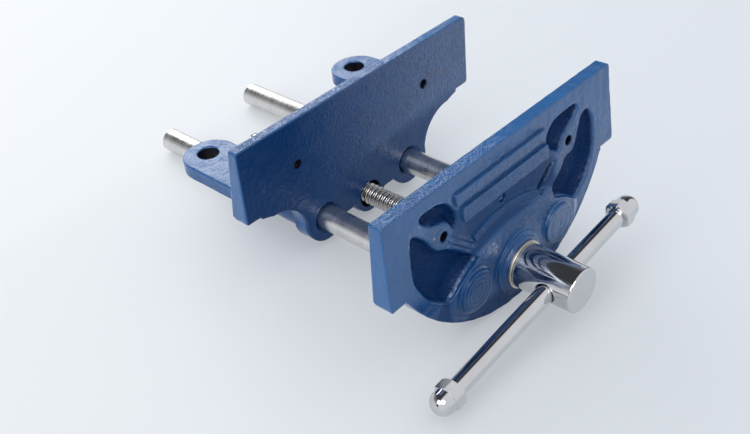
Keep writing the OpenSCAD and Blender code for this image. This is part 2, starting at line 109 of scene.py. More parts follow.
def length(name, about, mm, low=0.0):
    return FloatProperty(name=name, description=about, default=mm * MM, min=low, max=1.0, unit="LENGTH",
                         precision=4)


def angle(name, about, degrees):
    return FloatProperty(name=name, description=about, default=np.radians(degrees), subtype="ANGLE",
                         unit="ROTATION")


def colour(name, about, rgb):
    return FloatVectorProperty(name=name, description=about, default=(*rgb, 1.0), size=4, subtype="COLOR",
                               min=0.0, max=1.0)


def share(name, about, value):
    return FloatProperty(name=name, description=about, default=value, min=0.0, max=1.0, subtype="FACTOR")


def power(name, about, watts):
    return FloatProperty(name=name, description=about, default=watts, subtype="POWER", min=0.0)


class VISE_PG_castings(bpy.types.PropertyGroup):
    front_plate: length("Front Plate", "Thickness of the front jaw's plate at its top edge", 7.5)
    front_draft: angle("Front Draft", "Slope of the front jaw's outer face", 5.2)
    front_height: length("Front Height", "Height of the front jaw's plate at its ends", 46.0)
    front_recess: length("Front Set-back", "Set-back of the front jaw's lower part", 3.5)
    pad: length("Pad Face", "Face of the pad round the bosses, from the clamp face", 14.5)
    pad_end: length("Pad End", "Radius of the pad's ends", 17.0)
    bar_boss: length("Bar Bosses", "Face of the guide bars' bosses, from the clamp face", 16.8)
    rear_plate: length("Rear Plate", "Thickness of the rear jaw's plate at its top edge", 6.0)
    rear_draft: angle("Rear Draft", "Slope of the rear plate's back", 7.0)
    rear_apron: length("Rear Apron", "Thickness of the rear jaw's lower part", 12.0)
    end_step: length("End Step", "Step from the plates' ends in to the lower castings", 9.8)
    front_spread: length("Front Spread", "How far the front plate's ends spread downwards", 1.8)
    rear_spread: length("Rear Spread", "How far the rear plate's ends spread downwards", 0.8)
    corner: length("Corner", "Radius of the plates' lower corners", 4.0)
    edge: length("Edge", "Radius of the castings' edges", 0.9)
    fillet: length("Fillet", "Radius where cast walls meet", 2.2)
    pocket: length("Pocket Depth", "Depth of the pockets in the outer face", 5.0)
    band: length("Band Height", "Height of the plain raised bands", 1.3)
    wave: length("Casting Waves", "Height of the slow waves in the cast surface", 0.05)
    grid: length("Surface Step", "Distance between the castings' surface points", 0.66, low=0.0004)


class VISE_PG_metalwork(bpy.types.PropertyGroup):
    pitch: length("Pitch", "Pitch of the lead screw", 3.0)
    thread: length("Thread Depth", "Depth of the lead screw's thread", 1.6)
    bar_chamfer: length("Bar Chamfer", "Chamfer on the guide bars' ends", 1.0)
    head_edge: length("Head Edge", "Radius of the head's edges", 1.0)
    cross_hole: length("Cross Hole", "Diameter of the head's hole for the handle", 10.1)
    handle_d: length("Handle Diameter", "Diameter of the handle bar", 9.5)
    handle_len: length("Handle Length", "Length of the handle bar between its nuts", 133.0)
    nut_af: length("Nut Across Flats", "Cap nuts across their flats", 13.0)
    nut_hex: length("Nut Hexagon", "Height of the cap nuts' hexagon", 6.5)
    nut_h: length("Nut Height", "Height of the cap nuts with their domes", 15.0)
    dome_r: length("Dome Radius", "Radius of the cap nuts' domes", 6.35)
    sides: IntProperty(name="Sides", description="Points round each turned piece", default=96, min=24)


class VISE_PG_finish(bpy.types.PropertyGroup):
    enamel: colour("Enamel", "Blue enamel on both jaws", (0.011, 0.112, 0.325))
    # Painted shade: the deeper blue that the enamel takes where shade falls, in the pockets, by the bands and on the
    # rear clamp face
    enamel_shaded: colour("Shaded Enamel", "Enamel where it lies thick, in the pockets", (0.003, 0.032, 0.125))
    # Bare iron in the holes, painted near black also for the shade inside them
    bore: colour("Bores", "Dark bare iron in the holes", (0.012, 0.012, 0.016))
    lumps: share("Lumps", "Height of the enamel's lumps where the casting is coarse", 1.0)
    enamel_gloss: share("Enamel Roughness", "Roughness of the enamel", 0.24)
    peel: share("Orange Peel", "Strength of the enamel's orange peel", 0.45)
    ground: colour("Ground Steel", "Bright ground guide bars", (0.76, 0.75, 0.73))
    cut: colour("Cut Steel", "Lead screw and nut", (0.62, 0.6, 0.56))
    plain: colour("Plain Steel", "Pins, set screw and collar", (0.4, 0.4, 0.41))
    chrome: colour("Chrome", "Plated head, handle and cap nuts", (0.64, 0.645, 0.655))
    brass: colour("Brass", "Thrust washer", (0.8, 0.76, 0.66))


class VISE_PG_stage(bpy.types.PropertyGroup):
    # Painted light and shade on the table: paler at its far left, darker at its near right
    floor: colour("Floor", "Pale plain table, at its far left", (0.775, 0.79, 0.8))
    floor_near_shaded: colour("Near Floor", "The table's shade at its near right", (0.70, 0.728, 0.77))
    tilt: angle("Table Tilt", "Slope of the table that the vise lies on", 4.42)
    lens: FloatProperty(name="Lens", description="Focal length of the camera", default=48.24, unit="CAMERA")
    key: power("Soft Box", "Power of the large soft box", 10.0)
    fill: power("Side Fill", "Power of the side fill", 5.0)


# Shapes

def unit(v):
    """Value held between 0 and 1."""
    return np.clip(v, 0, 1)


def rounded(points, r, n=5):
    """Closed outline with its corners rounded: each corner becomes an arc of radius r that touches both sides,
    its centre on the corner's bisector at r over the sine of half its angle."""
    b = np.asarray(points, float)
    u, v = np.roll(b, 1, 0) - b, np.roll(b, -1, 0) - b
    u /= np.linalg.norm(u, axis=1)[:, None]
    v /= np.linalg.norm(v, axis=1)[:, None]
    half = np.arccos((u * v).sum(1)) / 2
    mid = u + v
    mid /= np.linalg.norm(mid, axis=1)[:, None]
    centre = b + mid * (r / np.sin(half))[:, None]
    p = b + u * (r / np.tan(half))[:, None] - centre
    q = b + v * (r / np.tan(half))[:, None] - centre
    start = np.arctan2(p[:, 1], p[:, 0])
    turn = np.arctan2(p[:, 0] * q[:, 1] - p[:, 1] * q[:, 0], (p * q).sum(1))
    angle = start[:, None] + turn[:, None] * np.linspace(0, 1, n)
    return (centre[:, None] + r * np.stack([np.cos(angle), np.sin(angle)], 2)).reshape(-1, 2)


def outline(points, x, z):
    """Distance from (x, z) to a closed outline of straight sides, negative inside. The distance is the least of
    those to all sides, and a point is inside where a line along x from it crosses an odd number of them."""
    a = np.asarray(points, np.float32)
    b = np.roll(a, -1, 0)
    e = b - a
    x, z = np.broadcast_arrays(x, z)
    px, pz = x[..., None].astype(np.float32), z[..., None].astype(np.float32)
    wx, wz = px - a[:, 0], pz - a[:, 1]
    t = np.clip((wx * e[:, 0] + wz * e[:, 1]) / (e * e).sum(1), 0, 1)
    far = np.hypot(wx - t * e[:, 0], wz - t * e[:, 1]).min(-1)
    rise = np.where(e[:, 1] == 0, 1, e[:, 1])
    crossed = ((a[:, 1] > pz) != (b[:, 1] > pz)) & (px < a[:, 0] + wz * e[:, 0] / rise)
    return np.where(crossed.sum(-1) % 2 == 1, -far, far)


def rectangle(x, z, x0, x1, z0, z1, r=0.0):
    """Distance to a rectangle with corners of radius r, negative inside."""
    u = np.abs(x - (x0 + x1) / 2) - (x1 - x0) / 2 + r
    v = np.abs(z - (z0 + z1) / 2) - (z1 - z0) / 2 + r
    return np.hypot(np.maximum(u, 0), np.maximum(v, 0)) + np.minimum(np.maximum(u, v), 0) - r


def plate(x, z, top, low, spread, upper_left, upper_right, lower):
    """Distance to a plate's outline in X and Z: its ends spread downwards by the given amount, and its corners
    are rounded, each to its own radius."""
    r = np.where(z < (top + low) / 2, lower, np.where(x < 0, upper_left, upper_right))
    u = np.abs(x) - HALF_W - spread * (top - z) / (top - low) + r
    v = np.abs(z - (top + low) / 2) - (top - low) / 2 + r
    return np.hypot(np.maximum(u, 0), np.maximum(v, 0)) + np.minimum(np.maximum(u, v), 0) - r


def liner_holes(x, z, top):
    """Distance to the axes of the two screw holes below a plate's top edge."""
    return np.hypot(np.abs(x) - LINER_X, z - top + LINER_DROP)


def rounded_foot(near, far, up, r, lip):
    """Distance to a plate's rounded lower edge, from the distances inside one face, the other face and the foot."""
    first = r - np.hypot(np.maximum(r - near, 0), np.maximum(r - up, 0))
    return -np.minimum(first, lip - np.hypot(np.maximum(lip - far, 0), np.maximum(lip - up, 0)))


def joined(a, b, r):
    """Union of two distances, with a round fillet of radius r in the corner between them."""
    return np.maximum(r, np.minimum(a, b)) - np.hypot(np.maximum(r - a, 0), np.maximum(r - b, 0))


def common(a, b, r):
    """Common part of two distances, with its edge rounded to the radius r."""
    return np.minimum(-r, np.maximum(a, b)) + np.hypot(np.maximum(r + a, 0), np.maximum(r + b, 0))


def cut(a, b, r):
    """Distance a with b taken out of it, with the edge rounded to the radius r."""
    return common(a, -b, r)


def waves(x, y, z, size, seed):
    """Slow even waves of about the given length: the mean of twelve plane waves in all directions."""
    rng = np.random.default_rng(seed)
    way = rng.normal(size=(12, 3))
    way *= (2 * np.pi / size * rng.uniform(0.7, 1.4, 12) / np.linalg.norm(way, axis=1))[:, None]
    phase = rng.uniform(0, 2 * np.pi, 12)
    return sum(np.sin(k[0] * x + k[1] * y + k[2] * z + p) for k, p in zip(way, phase)) / 4


def solid_skin(distance, low, high, step):
    """Closed skin of the solid inside which distance(x, y, z) is negative. The distance is worked out on a grid.
    Each cell that the skin crosses gets a point, the mean of the crossings on its twelve edges, and each
    crossed grid edge gets a face between the points of its four cells. Two steps down the slope then carry
    the points onto the true skin, and the slope there is the normal."""
    low, high, step = (np.asarray(v, float) * np.ones(3) for v in (low, high, step))
    size = np.ceil((high - low) / step).astype(int) + 1
    x, y, z = np.meshgrid(*(low[i] + step[i] * np.arange(size[i]) for i in range(3)),
                          indexing="ij", sparse=True)
    field = np.broadcast_to(distance(x, y, z), size)
    inside = field < 0
    corner = np.array([[i, j, k] for i in (0, 1) for j in (0, 1) for k in (0, 1)])
    count = sum(inside[tuple(slice(c, n - 1 + c) for c, n in zip(cs, size))].astype(np.int8) for cs in corner)
    crossed = (count > 0) & (count < 8)
    cell = np.argwhere(crossed)
    number = np.full(crossed.shape, -1)
    number[crossed] = np.arange(len(cell))
    pair = np.array([[i, j] for i in range(8) for j in range(i + 1, 8)
                     if np.abs(corner[i] - corner[j]).sum() == 1])
    value = field[tuple((cell[:, None] + corner).transpose(2, 0, 1))]
    a, b = value[:, pair[:, 0]], value[:, pair[:, 1]]
    hit = (a < 0) != (b < 0)
    t = np.where(hit, a / np.where(a == b, 1, a - b), 0)[..., None]
    at = corner[pair[:, 0]] + t * (corner[pair[:, 1]] - corner[pair[:, 0]])
    point = low + (cell + (at * hit[..., None]).sum(1) / hit.sum(1)[:, None]) * step
    faces = []
    for axis in range(3):
        u, v = (axis + 1) % 3, (axis + 2) % 3
        lower = tuple(slice(0, -1) if i == axis else slice(1, -1) for i in range(3))
        upper = tuple(slice(1, None) if i == axis else slice(1, -1) for i in range(3))
        edge = np.argwhere(inside[lower] != inside[upper])
        edge[:, [u, v]] += 1
        quad = [number[tuple((edge - du * np.eye(3, dtype=int)[u] - dv * np.eye(3, dtype=int)[v]).T)]
                for du, dv in ((1, 1), (0, 1), (0, 0), (1, 0))]
        quad = np.stack(quad, 1)
        outward = inside[tuple(edge.T)]
        faces.append(np.where(outward[:, None], quad, quad[:, ::-1]))

    def slope(p, h=0.02):
        return np.stack([distance(*(p + h * e).T) - distance(*(p - h * e).T) for e in np.eye(3)], 1) / (2 * h)

    for _ in range(2):
        g = slope(point)
        move = distance(*point.T) / np.maximum((g * g).sum(1), 0.25)
        point = point - np.clip(move, -step.min() / 2, step.min() / 2)[:, None] * g
    return point, np.concatenate(faces), slope(point)


def turned(profile, centre, axis, sides):
    """Closed surface of revolution: a profile of (distance along the axis, radius), first and last on the axis,
    carried round it. Its normals are square to the profile, each point's weighted by its sides' lengths."""
    p = np.asarray(profile, float)
    axis = np.asarray(axis, float)
    side = np.cross(axis, [0.0, 0.0, 1.0] if abs(axis[2]) < 0.9 else [1.0, 0.0, 0.0])
    side /= np.linalg.norm(side)
    other = np.cross(axis, side)
    chord = np.diff(p, axis=0)
    square = np.stack([-chord[:, 1], chord[:, 0]], 1)
    normal = np.zeros_like(p)
    normal[:-1] += square
    normal[1:] += square
    normal[0], normal[-1] = [-1, 0], [1, 0]
    turn = 2 * np.pi * np.arange(sides) / sides
    ring = np.cos(turn)[:, None] * side + np.sin(turn)[:, None] * other
    inner = slice(1, -1)
    point = p[inner, 0, None, None] * axis + p[inner, 1, None, None] * ring
    out = normal[inner, 0, None, None] * axis + normal[inner, 1, None, None] * ring
    point = np.concatenate([point.reshape(-1, 3), p[:1, :1] * axis, p[-1:, :1] * axis]) + centre
    out = np.concatenate([out.reshape(-1, 3), [-axis, axis]])
    return point, round_faces(len(p) - 2, sides), out


def round_faces(rows, sides):
    """Faces of rows of points carried round an axis, with a fan of triangles to a pole at each end."""
    index = np.arange(rows * sides).reshape(rows, sides)
    after = np.roll(index, -1, 1)
    quads = np.stack([index[:-1], after[:-1], after[1:], index[1:]], 2).reshape(-1, 4)
    first = np.stack([np.full(sides, rows * sides), after[0], index[0]], 1)
    last = np.stack([np.full(sides, rows * sides + 1), index[-1], after[-1]], 1)
    return quads.tolist() + first.tolist() + last.tolist()


def softened(points, radii, n=6):
    """Open profile whose inner corners become arcs, each with its own radius."""
    p = np.asarray(points, float)
    out = [p[:1]]
    for i, r in enumerate(radii, 1):
        if r <= 0:
            out.append(p[i:i + 1])
            continue
        # Two spare corners far behind close the outline, so that only this corner's arc is taken
        arc = rounded([p[i - 1], p[i], p[i + 1]], r, n).reshape(3, n, 2)[1]
        out.append(arc)
    out.append(p[-1:])
    return np.concatenate(out)


def make_piece(name, point, faces, normal=None):
    """Mesh object at the origin from points in millimetres, its faces, and its normals."""
    mesh = bpy.data.meshes.new(name)
    mesh.from_pydata(np.asarray(point, float) * MM, [], faces if isinstance(faces, list) else faces.tolist())
    mesh.validate()
    mesh.shade_smooth()
    if normal is not None and len(mesh.vertices) == len(point):
        normal = normal / np.maximum(np.linalg.norm(normal, axis=1), 1e-9)[:, None]
        mesh.normals_split_custom_set_from_vertices(normal.astype(np.float32))
    piece = bpy.data.objects.new(name, mesh)
    bpy.context.scene.collection.objects.link(piece)
    if len(mesh.polygons) == 0:
        raise RuntimeError(f"{name} has no faces")
    return piece


def merged(*parts):
    """Several closed shells as one set of points, faces and normals."""
    points, faces, normals, start = [], [], [], 0
    for point, face, normal in parts:
        points.append(point)
        normals.append(normal / np.maximum(np.linalg.norm(normal, axis=1), 1e-9)[:, None])
        faces += [[i + start for i in f] for f in (face if isinstance(face, list) else face.tolist())]
        start += len(point)
    return np.concatenate(points), faces, np.concatenate(normals)


def finish_piece(piece, material, body, slot, *nodes):
    """Gives a piece its material and its body, and hides the CAD nodes that it takes the place of. Its slot is not
    used.
    """
    piece.data.materials.clear()
    piece.data.materials.append(material)
    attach(piece, body)
    if nodes:
        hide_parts(*nodes)


# Front jaw

# Pockets in the outer face as (x, height above the bench seat)
POCKETS = (
    [(67.5, 19.5), (72, 12), (71.5, -7), (63.5, -20.5), (53, -28), (47, -23.5), (41, -19.2), (31.5, -15),
     (31, -9.5), (41, -5), (46, 1.5), (53, 1.5), (57, 9), (61, 18)],
    [(58, 27), (59, 21.5), (50, 15.5), (43, 11), (41.5, 5.5), (33.5, 11), (30.5, 17), (33, 23), (40, 26.5)],
    [(38.5, 3.5), (32, 4.5), (20, -4), (22.5, -8.5), (30, -5)],
    [(-71.5, 20), (-66.9, 19.8), (-59.7, 12.7), (-56.8, 7.1), (-53.9, 3.8), (-46.5, 0.8), (-33.3, -10.1),
     (-29, -14.3), (-40, -18.8), (-50.1, -25.8), (-54, -27.2), (-65, -19), (-72.5, -5), (-73, 5.7)],
    [(-64, 27.5), (-64, 23.5), (-57, 17), (-46.5, 15), (-42.5, 8.5), (-38.5, 10), (-38.5, 16), (-43.5, 24),
     (-52, 27.5)])


def front_face(c, z):
    """Height of the outer face along Y: the plate thickens downwards from its top edge."""
    return CLAMP_FRONT - c.front_plate / MM - (FRONT_TOP - z) * np.tan(c.front_draft)


def outer_depth(c, y, z):
    """Distance in front of the sloping outer face, negative inside the casting."""
    return (front_face(c, z) - y) * np.cos(c.front_draft)


def smooth(points, part):
    """Closed outline with its corners cut off twice, each time at the given part of both sides."""
    p = np.asarray(points, float)
    for _ in range(2):
        after = np.roll(p, -1, 0)
        p = np.stack([p + part * (after - p), after - part * (after - p)], 1).reshape(-1, 2)
    return p


def front_pockets(x, z):
    """Least distance to the outlines of the pockets. The small slanting one keeps sharper corners."""
    return np.minimum.reduce([outline(smooth(p, 0.12 if len(p) < 8 else 0.2), x, z) for p in POCKETS])


def straight_bands(x, z):
    """Distance to the two straight bands."""
    return np.minimum(rectangle(x, z, -40, 29, 20, 26, 1.2), rectangle(x, z, -36, 31, 9, 17, 1.2))


def pad_distance(c, x, z):
    """Distance to the outline of the pad, from above: a flat arch that touches a circle about each guide bar. Where
    the line from the arch's centre passes outside a bar's centre, the circle is the nearer."""
    end_r, top = c.pad_end / MM, FRONT_PAD_TOP
    rise = top - BAR_Z
    arch_r = (BAR_X ** 2 + rise ** 2 - end_r ** 2) / (2 * (rise - end_r))
    up = z - top + arch_r
    across = np.abs(x)
    return np.where(across * (BAR_Z - top + arch_r) > BAR_X * up, np.hypot(across - BAR_X, z - BAR_Z) - end_r,
                    np.hypot(x, up) - arch_r)


def front_jaw_distance(c):
    """Distance to the front casting. A plate's outline joined to a disc's lower part is kept inside a wedge in Y
    and Z, and set back below the plate. The pad is a disc cut by an arch with a sloping wall. Bosses, bands,
    scooped pockets and bores are joined and cut with round fillets and edges, and slow waves are laid over it all."""
    edge = c.edge / MM
    low = FRONT_TOP - c.front_height / MM
    step_x = HALF_W - c.end_step / MM
    arc_c = (step_x ** 2 + low ** 2 - FRONT_BOTTOM ** 2) / (2 * (low - FRONT_BOTTOM))
    arc_r = arc_c - FRONT_BOTTOM
    inner = CLAMP_FRONT - c.front_recess / MM
    pad_face = CLAMP_FRONT - c.pad / MM
    bar_boss = CLAMP_FRONT - c.bar_boss / MM
    foot = FRONT_BOTTOM - 3
    wedge = [(CLAMP_FRONT, FRONT_TOP), (front_face(c, FRONT_TOP), FRONT_TOP), (front_face(c, foot), foot),
             (CLAMP_FRONT, foot)]
    depth, band = c.pocket / MM, c.band / MM
    turn = np.radians(np.linspace(109, 66, 19))
    ring = np.stack([np.cos(turn), np.sin(turn)], 1)
    curved = np.concatenate([ring * BAND_IN, ring[::-1] * BAND_OUT]) + BAND_CENTRE

    def distance(x, y, z):
        across = np.abs(x)
        flat = plate(x, z, FRONT_TOP, low, c.front_spread / MM, 1.3, 1.6, c.corner / MM)
        disc = np.hypot(x, z - arc_c) - arc_r
        flat = joined(flat, np.maximum(disc, z - low - 2), 1.6)
        body = common(flat, outline(wedge, y, z), edge)
        behind = common(common(inner - y, (z - low - 1 - y + inner) * 0.707, 1.5), across - step_x, 0.8)
        body = cut(body, behind, edge)
        out = outer_depth(c, y, z)
        ends = rounded_foot(CLAMP_FRONT - y, -out, z - low, FOOT_R, LIP_R)
        body = np.maximum(body, np.minimum(ends, across - step_x))
        wall = (pad_distance(c, x, z) - 1.5 * np.maximum(y - pad_face, 0)) * 0.55
        pad = common(common(disc + 2.5, wall, 2.0), pad_face - y, 0.8)
        body = joined(body, np.maximum(pad, y - inner + 2), 1.6)
        spread = np.hypot(across - BAR_X, z - BAR_Z)
        body = joined(body, common(spread - 11.3, np.maximum(bar_boss - y, y - inner + 2), 0.9), 0.9)
        middle = np.hypot(x, z - SCREW_Z)
        hub = common(middle - 15, np.maximum(BOSS_FACE - y, y - inner + 2), 0.9)
        collar = common(middle - 17.4, np.maximum(BOSS_FACE + 1.6 - y, y - inner + 2), 0.8)
        body = joined(joined(body, collar, 0.8), hub, 0.8)
        strips = np.minimum(straight_bands(x, z), outline(curved, x, z))
        body = joined(body, common(strips, np.maximum(out - band, -2 - out), 0.4), 0.3)
        # Ridge from the left hole's boss down to the pad
        along = np.clip(((x + 46) * 21 - (z - 5.5) * 18) / (21 ** 2 + 18 ** 2), 0, 1)
        ridge = np.hypot(x + 46 - 21 * along, z - 5.5 + 18 * along) - 1.5
        body = joined(body, common(ridge, np.maximum(out - 0.9, -2 - out), 0.5), 0.5)
        # The pockets' walls lean and run into the floor, with a lump in the upper left one
        lump = 2.6 * np.exp(-((x + 56.5) / 4.2) ** 2 - ((z - 19.5) / 2.2) ** 2)
        pocket = common((front_pockets(x, z) - 0.55 * np.minimum(out, 0)) * 0.876, lump - depth - out, 2.0)
        body = cut(body, pocket, 0.8)
        pit = common(np.hypot(x + 6.5, z - 6) - 2.5, -2 - out, 0.8)
        body = cut(body, pit, 0.6)
        body = cut(body, liner_holes(x, z, FRONT_TOP) - LINER_R, 0.5)
        body = cut(body, np.maximum(spread - BAR_R - 0.08, inner - 4 - y), 0.3)
        body = cut(body, middle - SCREW_R - 0.12, 0.4)
        body = cut(body, np.maximum(middle - 10.5, CLAMP_FRONT - 7 - y), 0.3)
        # Ripples round the left boss, a pit and a low rim on the right one
        left = np.hypot(x + BAR_X, z - BAR_Z)
        ripple = 0.14 * np.cos(left * 2 * np.pi / 2.6) * unit((left - 2) / 3) * unit((17 - left) / 4)
        right = np.hypot(x - BAR_X, z - BAR_Z)
        mark = 0.5 * np.exp(-(right / 1.1) ** 2) + 0.15 * np.exp(-((right - 8.6) / 0.9) ** 2)
        outer = np.clip((out + 1) / 2, 0, 1)
        rough = c.wave / MM * (1 + 0.8 * outer) * waves(x, y, z, 9.0, 3)
        return body + rough + outer * (ripple + mark)

    return distance


class VISE_OT_front_jaw(bpy.types.Operator):
    """Front jaw casting with its plate, pockets, pad and bosses"""
    bl_idname = "vise.front_jaw"
    bl_label = "Front Jaw"

    def execute(self, context):
        c = context.scene.vise_castings
        step = c.grid / MM * np.array([1, 0.8, 1])
        point, faces, normal = solid_skin(front_jaw_distance(c), FRONT_LOW - 1.3, FRONT_HIGH + 1.3, step)
        point = np.clip(point, FRONT_LOW, FRONT_HIGH)
        piece = make_piece("front_jaw_casting", point, faces, normal)
        x, y, z = point.T
        out = outer_depth(c, y, z)
        low = FRONT_TOP - c.front_height / MM
        ahead = y < np.where(z > low - 1, CLAMP_FRONT - 1.2, CLAMP_FRONT - c.front_recess / MM - 0.6)
        # Painted shade in the pockets, growing over the first two millimetres below the outer face
        pool = unit((-out - 0.3) / 1.5) * unit(0.8 - front_pockets(x, z)) * ahead
        # Painted shade: darker enamel between the bands, along their edges, under the curved band, towards the foot
        # and on the pad's lower left
        strips = straight_bands(x, z)
        round_band = np.hypot(x - BAND_CENTRE[0], z - BAND_CENTRE[1])
        valley = unit((round_band - 70) / 2) * unit((9.5 - z) / 2) * unit((42 - np.abs(x)) / 8)
        under = unit((66.5 - round_band) / 2) * unit(pad_distance(c, x, z) / 2)
        field = unit((44 - np.abs(x + 4)) / 5) * unit((19 - z) / 2) * unit((z + 12) / 6)
        raised = np.maximum.reduce([0.8 * valley, 0.8 * under, 0.85 * unit(1 - np.abs(strips - 0.5) / 1.1),
                                    field * np.clip(strips + 0.3, 0.25, 0.65)]) * (out > -1.5)
        shade = np.maximum.reduce([raised, 0.9 * unit((-32 - z) / 14),
                                   0.55 * unit((12 - x) / 25) * unit((-8 - z) / 10)]) * ahead
        add_mask(piece, "pool", np.maximum(pool, shade))
        centre = unit(1.6 - np.hypot(x / 60, (z - 4) / 22))
        top = unit((z - FRONT_TOP + 0.6) / 0.5) * unit((30 - x) / 90)
        add_mask(piece, "coarse", np.maximum(unit((out + 1.5) / 1.5) * centre * (1 - shade) + 0.7 * pool, top))
        # Bare iron in the liner holes and the screw's bore, painted near black also for the shade inside them
        holes = (liner_holes(x, z, FRONT_TOP) < 2.9) & (out < -0.7) & (y < CLAMP_FRONT - 0.7)
        add_mask(piece, "bore", holes | (np.hypot(x, z - SCREW_Z) < 6.4))
        finish_piece(piece, enamel(context), "front", "blue_paint", "front_jaw")
        return {"FINISHED"}


# Rear jaw

def rear_jaw_distance(c):
    """Distance to the rear casting: the plate's outline joined to the waisted apron's, kept inside a profile in Y
    and Z, joined to the bench flange, ribs, guide tubes and nut housing, and cut by the bores."""
    edge, fillet = c.edge / MM, c.fillet / MM
    low = REAR_TOP - REAR_PLATE_H
    step_x = HALF_W - c.end_step / MM
    back = CLAMP_REAR + c.rear_apron / MM
    lobe_r, sweep_r = 14.3, 22.0
    sweep_x = BAR_X + lobe_r + sweep_r - 0.3
    thin = c.rear_plate / MM

    def rear_face(z):
        return CLAMP_REAR + thin + (REAR_TOP - z) * np.tan(c.rear_draft)

    section = [(CLAMP_REAR, REAR_TOP), (CLAMP_REAR, REAR_LOW[2] - 3), (back, REAR_LOW[2] - 3), (back, low),
               (rear_face(low), low), (rear_face(REAR_TOP), REAR_TOP)]
    apron = [(-step_x, low + 3), (-step_x, low), (-sweep_x, BAR_Z + sweep_r), (-sweep_x, BAR_Z), (-BAR_X, BAR_Z),
             (-BAR_X, BAR_Z - 5.3), (BAR_X, BAR_Z - 5.3), (BAR_X, BAR_Z), (sweep_x, BAR_Z),
             (sweep_x, BAR_Z + sweep_r), (step_x, low), (step_x, low + 3)]
    tube_end = -2.0
    housing_end = NUT_HIGH[1] - 3.0

    def distance(x, y, z):
        across = np.abs(x)
        flat = plate(x, z, REAR_TOP, low, c.rear_spread / MM, 1.5, 3.0, c.corner / MM)
        lower = np.maximum(outline(apron, x, z), sweep_r - np.hypot(across - sweep_x, z - BAR_Z))
        lower = np.minimum(lower, np.hypot(across - BAR_X, z - BAR_Z) - lobe_r)
        lower = joined(lower, np.hypot(x, z - SCREW_Z) - 11, 2.0)
        body = common(joined(flat, lower, 1.4), outline(section, y, z), edge)
        ends = rounded_foot((rear_face(z) - y) * 0.993, y - CLAMP_REAR, z - low, FOOT_R, LIP_R)
        body = np.maximum(body, np.minimum(ends, across - step_x))
        # Bench flange: two ears with round ends and the web between them
        ear = np.minimum(np.hypot(across - BOLT_X, y + 2) - EAR_R,
                         rectangle(across, y, BOLT_X - EAR_R, BOLT_X + EAR_R, back - 1, -2))
        web = rectangle(x, y, -44.5, 44.5, back - 1, -30)
        flange = common(joined(ear, web, 10.0), np.abs(z + 4) - 4, edge)
        body = joined(body, flange, fillet)
        spread = np.hypot(across - BAR_X, z - BAR_Z)
        tube = common(spread - 11.5, np.maximum(CLAMP_REAR + 3 - y, y - tube_end), 0.8)
        rib = common(outline([(back - 1, -7), (-30, -7), (tube_end - 6, BAR_Z + 10.5), (tube_end - 6, BAR_Z),
                              (back - 1, BAR_Z)], y, z), np.abs(across - BAR_X) - 3.5, 1.0)
        body = joined(body, joined(tube, rib, 1.5), 1.6)
        middle = np.hypot(x, z - SCREW_Z)
        housing = common(middle - 11, np.maximum(CLAMP_REAR + 3 - y, y - housing_end), 0.8)
        web = common(outline([(back - 2, -7), (-30, -7), (housing_end - 1, SCREW_Z + 5.5),
                              (back - 2, SCREW_Z + 5.5)], y, z), across - 3.5, 1.0)
        body = joined(body, joined(housing, web, 1.5), 1.6)
        body = cut(body, spread - BAR_R - 0.12, 0.4)
        mouth = spread - BAR_R - 0.1 - np.clip((CLAMP_REAR + 2 - y) * 1.2, 0, 3.0)
        body = cut(body, np.maximum(mouth * 0.65, y - CLAMP_REAR - 2.2), 0.3)
        body = cut(body, np.hypot(across - BOLT_X, y) - BOLT_R, 0.7)
        body = cut(body, np.maximum(liner_holes(x, z, REAR_TOP) - LINER_R, y - back - 1), 0.5)
        body = cut(body, np.maximum(middle - SCREW_R - 2, y - back), 0.5)
        body = cut(body, np.maximum(middle - 8.55, back - y), 0.3)
        # Hole for the nut's set screw, 30 degrees above level
        tilt = np.radians(60)
        along = x * np.sin(tilt) + (z - SCREW_Z) * np.cos(tilt)
        off = np.hypot(y - (back + 13), x * np.cos(tilt) - (z - SCREW_Z) * np.sin(tilt))
        body = cut(body, np.maximum(off - 2.55, 5 - along), 0.3)
        return body + c.wave / MM * waves(x, y, z, 10.0, 5)

    return distance


class VISE_OT_rear_jaw(bpy.types.Operator):
    """Rear jaw casting with its plate, ears, guide tubes and nut housing"""
    bl_idname = "vise.rear_jaw"
    bl_label = "Rear Jaw"

    def execute(self, context):
        c = context.scene.vise_castings
        step = c.grid / MM * np.array([1.3, 1.2, 1.3])
        point, faces, normal = solid_skin(rear_jaw_distance(c), REAR_LOW - 1.7, REAR_HIGH + 1.7, step)
        point = np.clip(point, REAR_LOW, REAR_HIGH)
        piece = make_piece("rear_jaw_casting", point, faces, normal)
        x, y, z = point.T
        # Bare iron in the through holes, guide bar bores and bolt holes, painted near black also for the shade inside
        # them
        through = (liner_holes(x, z, REAR_TOP) < 2.9) | (np.hypot(x, z - SCREW_Z) < 8.9)
        add_mask(piece, "bore", through & (y > CLAMP_REAR + 0.7)
                 | (np.hypot(np.abs(x) - BAR_X, z - BAR_Z) < 7.3)
                 | (np.hypot(np.abs(x) - BOLT_X, y) < 6.5) & (z < -0.6))
        # Painted shade: darker enamel on the clamp face's left side and lower part, and under the flange
        shaded = np.maximum(0.85 * unit((55 - x) / 110), 0.6 * unit(-z / 10))
        shaded = shaded * (y < CLAMP_REAR + 3) * (np.abs(x) < HALF_W - 0.3) * unit((REAR_TOP - 0.5 - z) / 0.5)
        under = unit((y - CLAMP_REAR - 4) / 6) * unit((4 - z) / 8) * 0.4
        add_mask(piece, "pool", np.maximum(shaded, under))
        hammer = unit((CLAMP_REAR + 0.8 - y) / 0.5) * unit((x + 50) / 40) * unit((z + 20) / 30)
        top = unit((z - REAR_TOP + 0.6) / 0.5) * unit((60 - x) / 90)
        add_mask(piece, "coarse", np.maximum(0.2 + 0.6 * hammer, top))
        finish_piece(piece, enamel(context), "rear", "blue_paint", "rear_jaw")
        return {"FINISHED"}


# Bars, washer, screw, head and handle

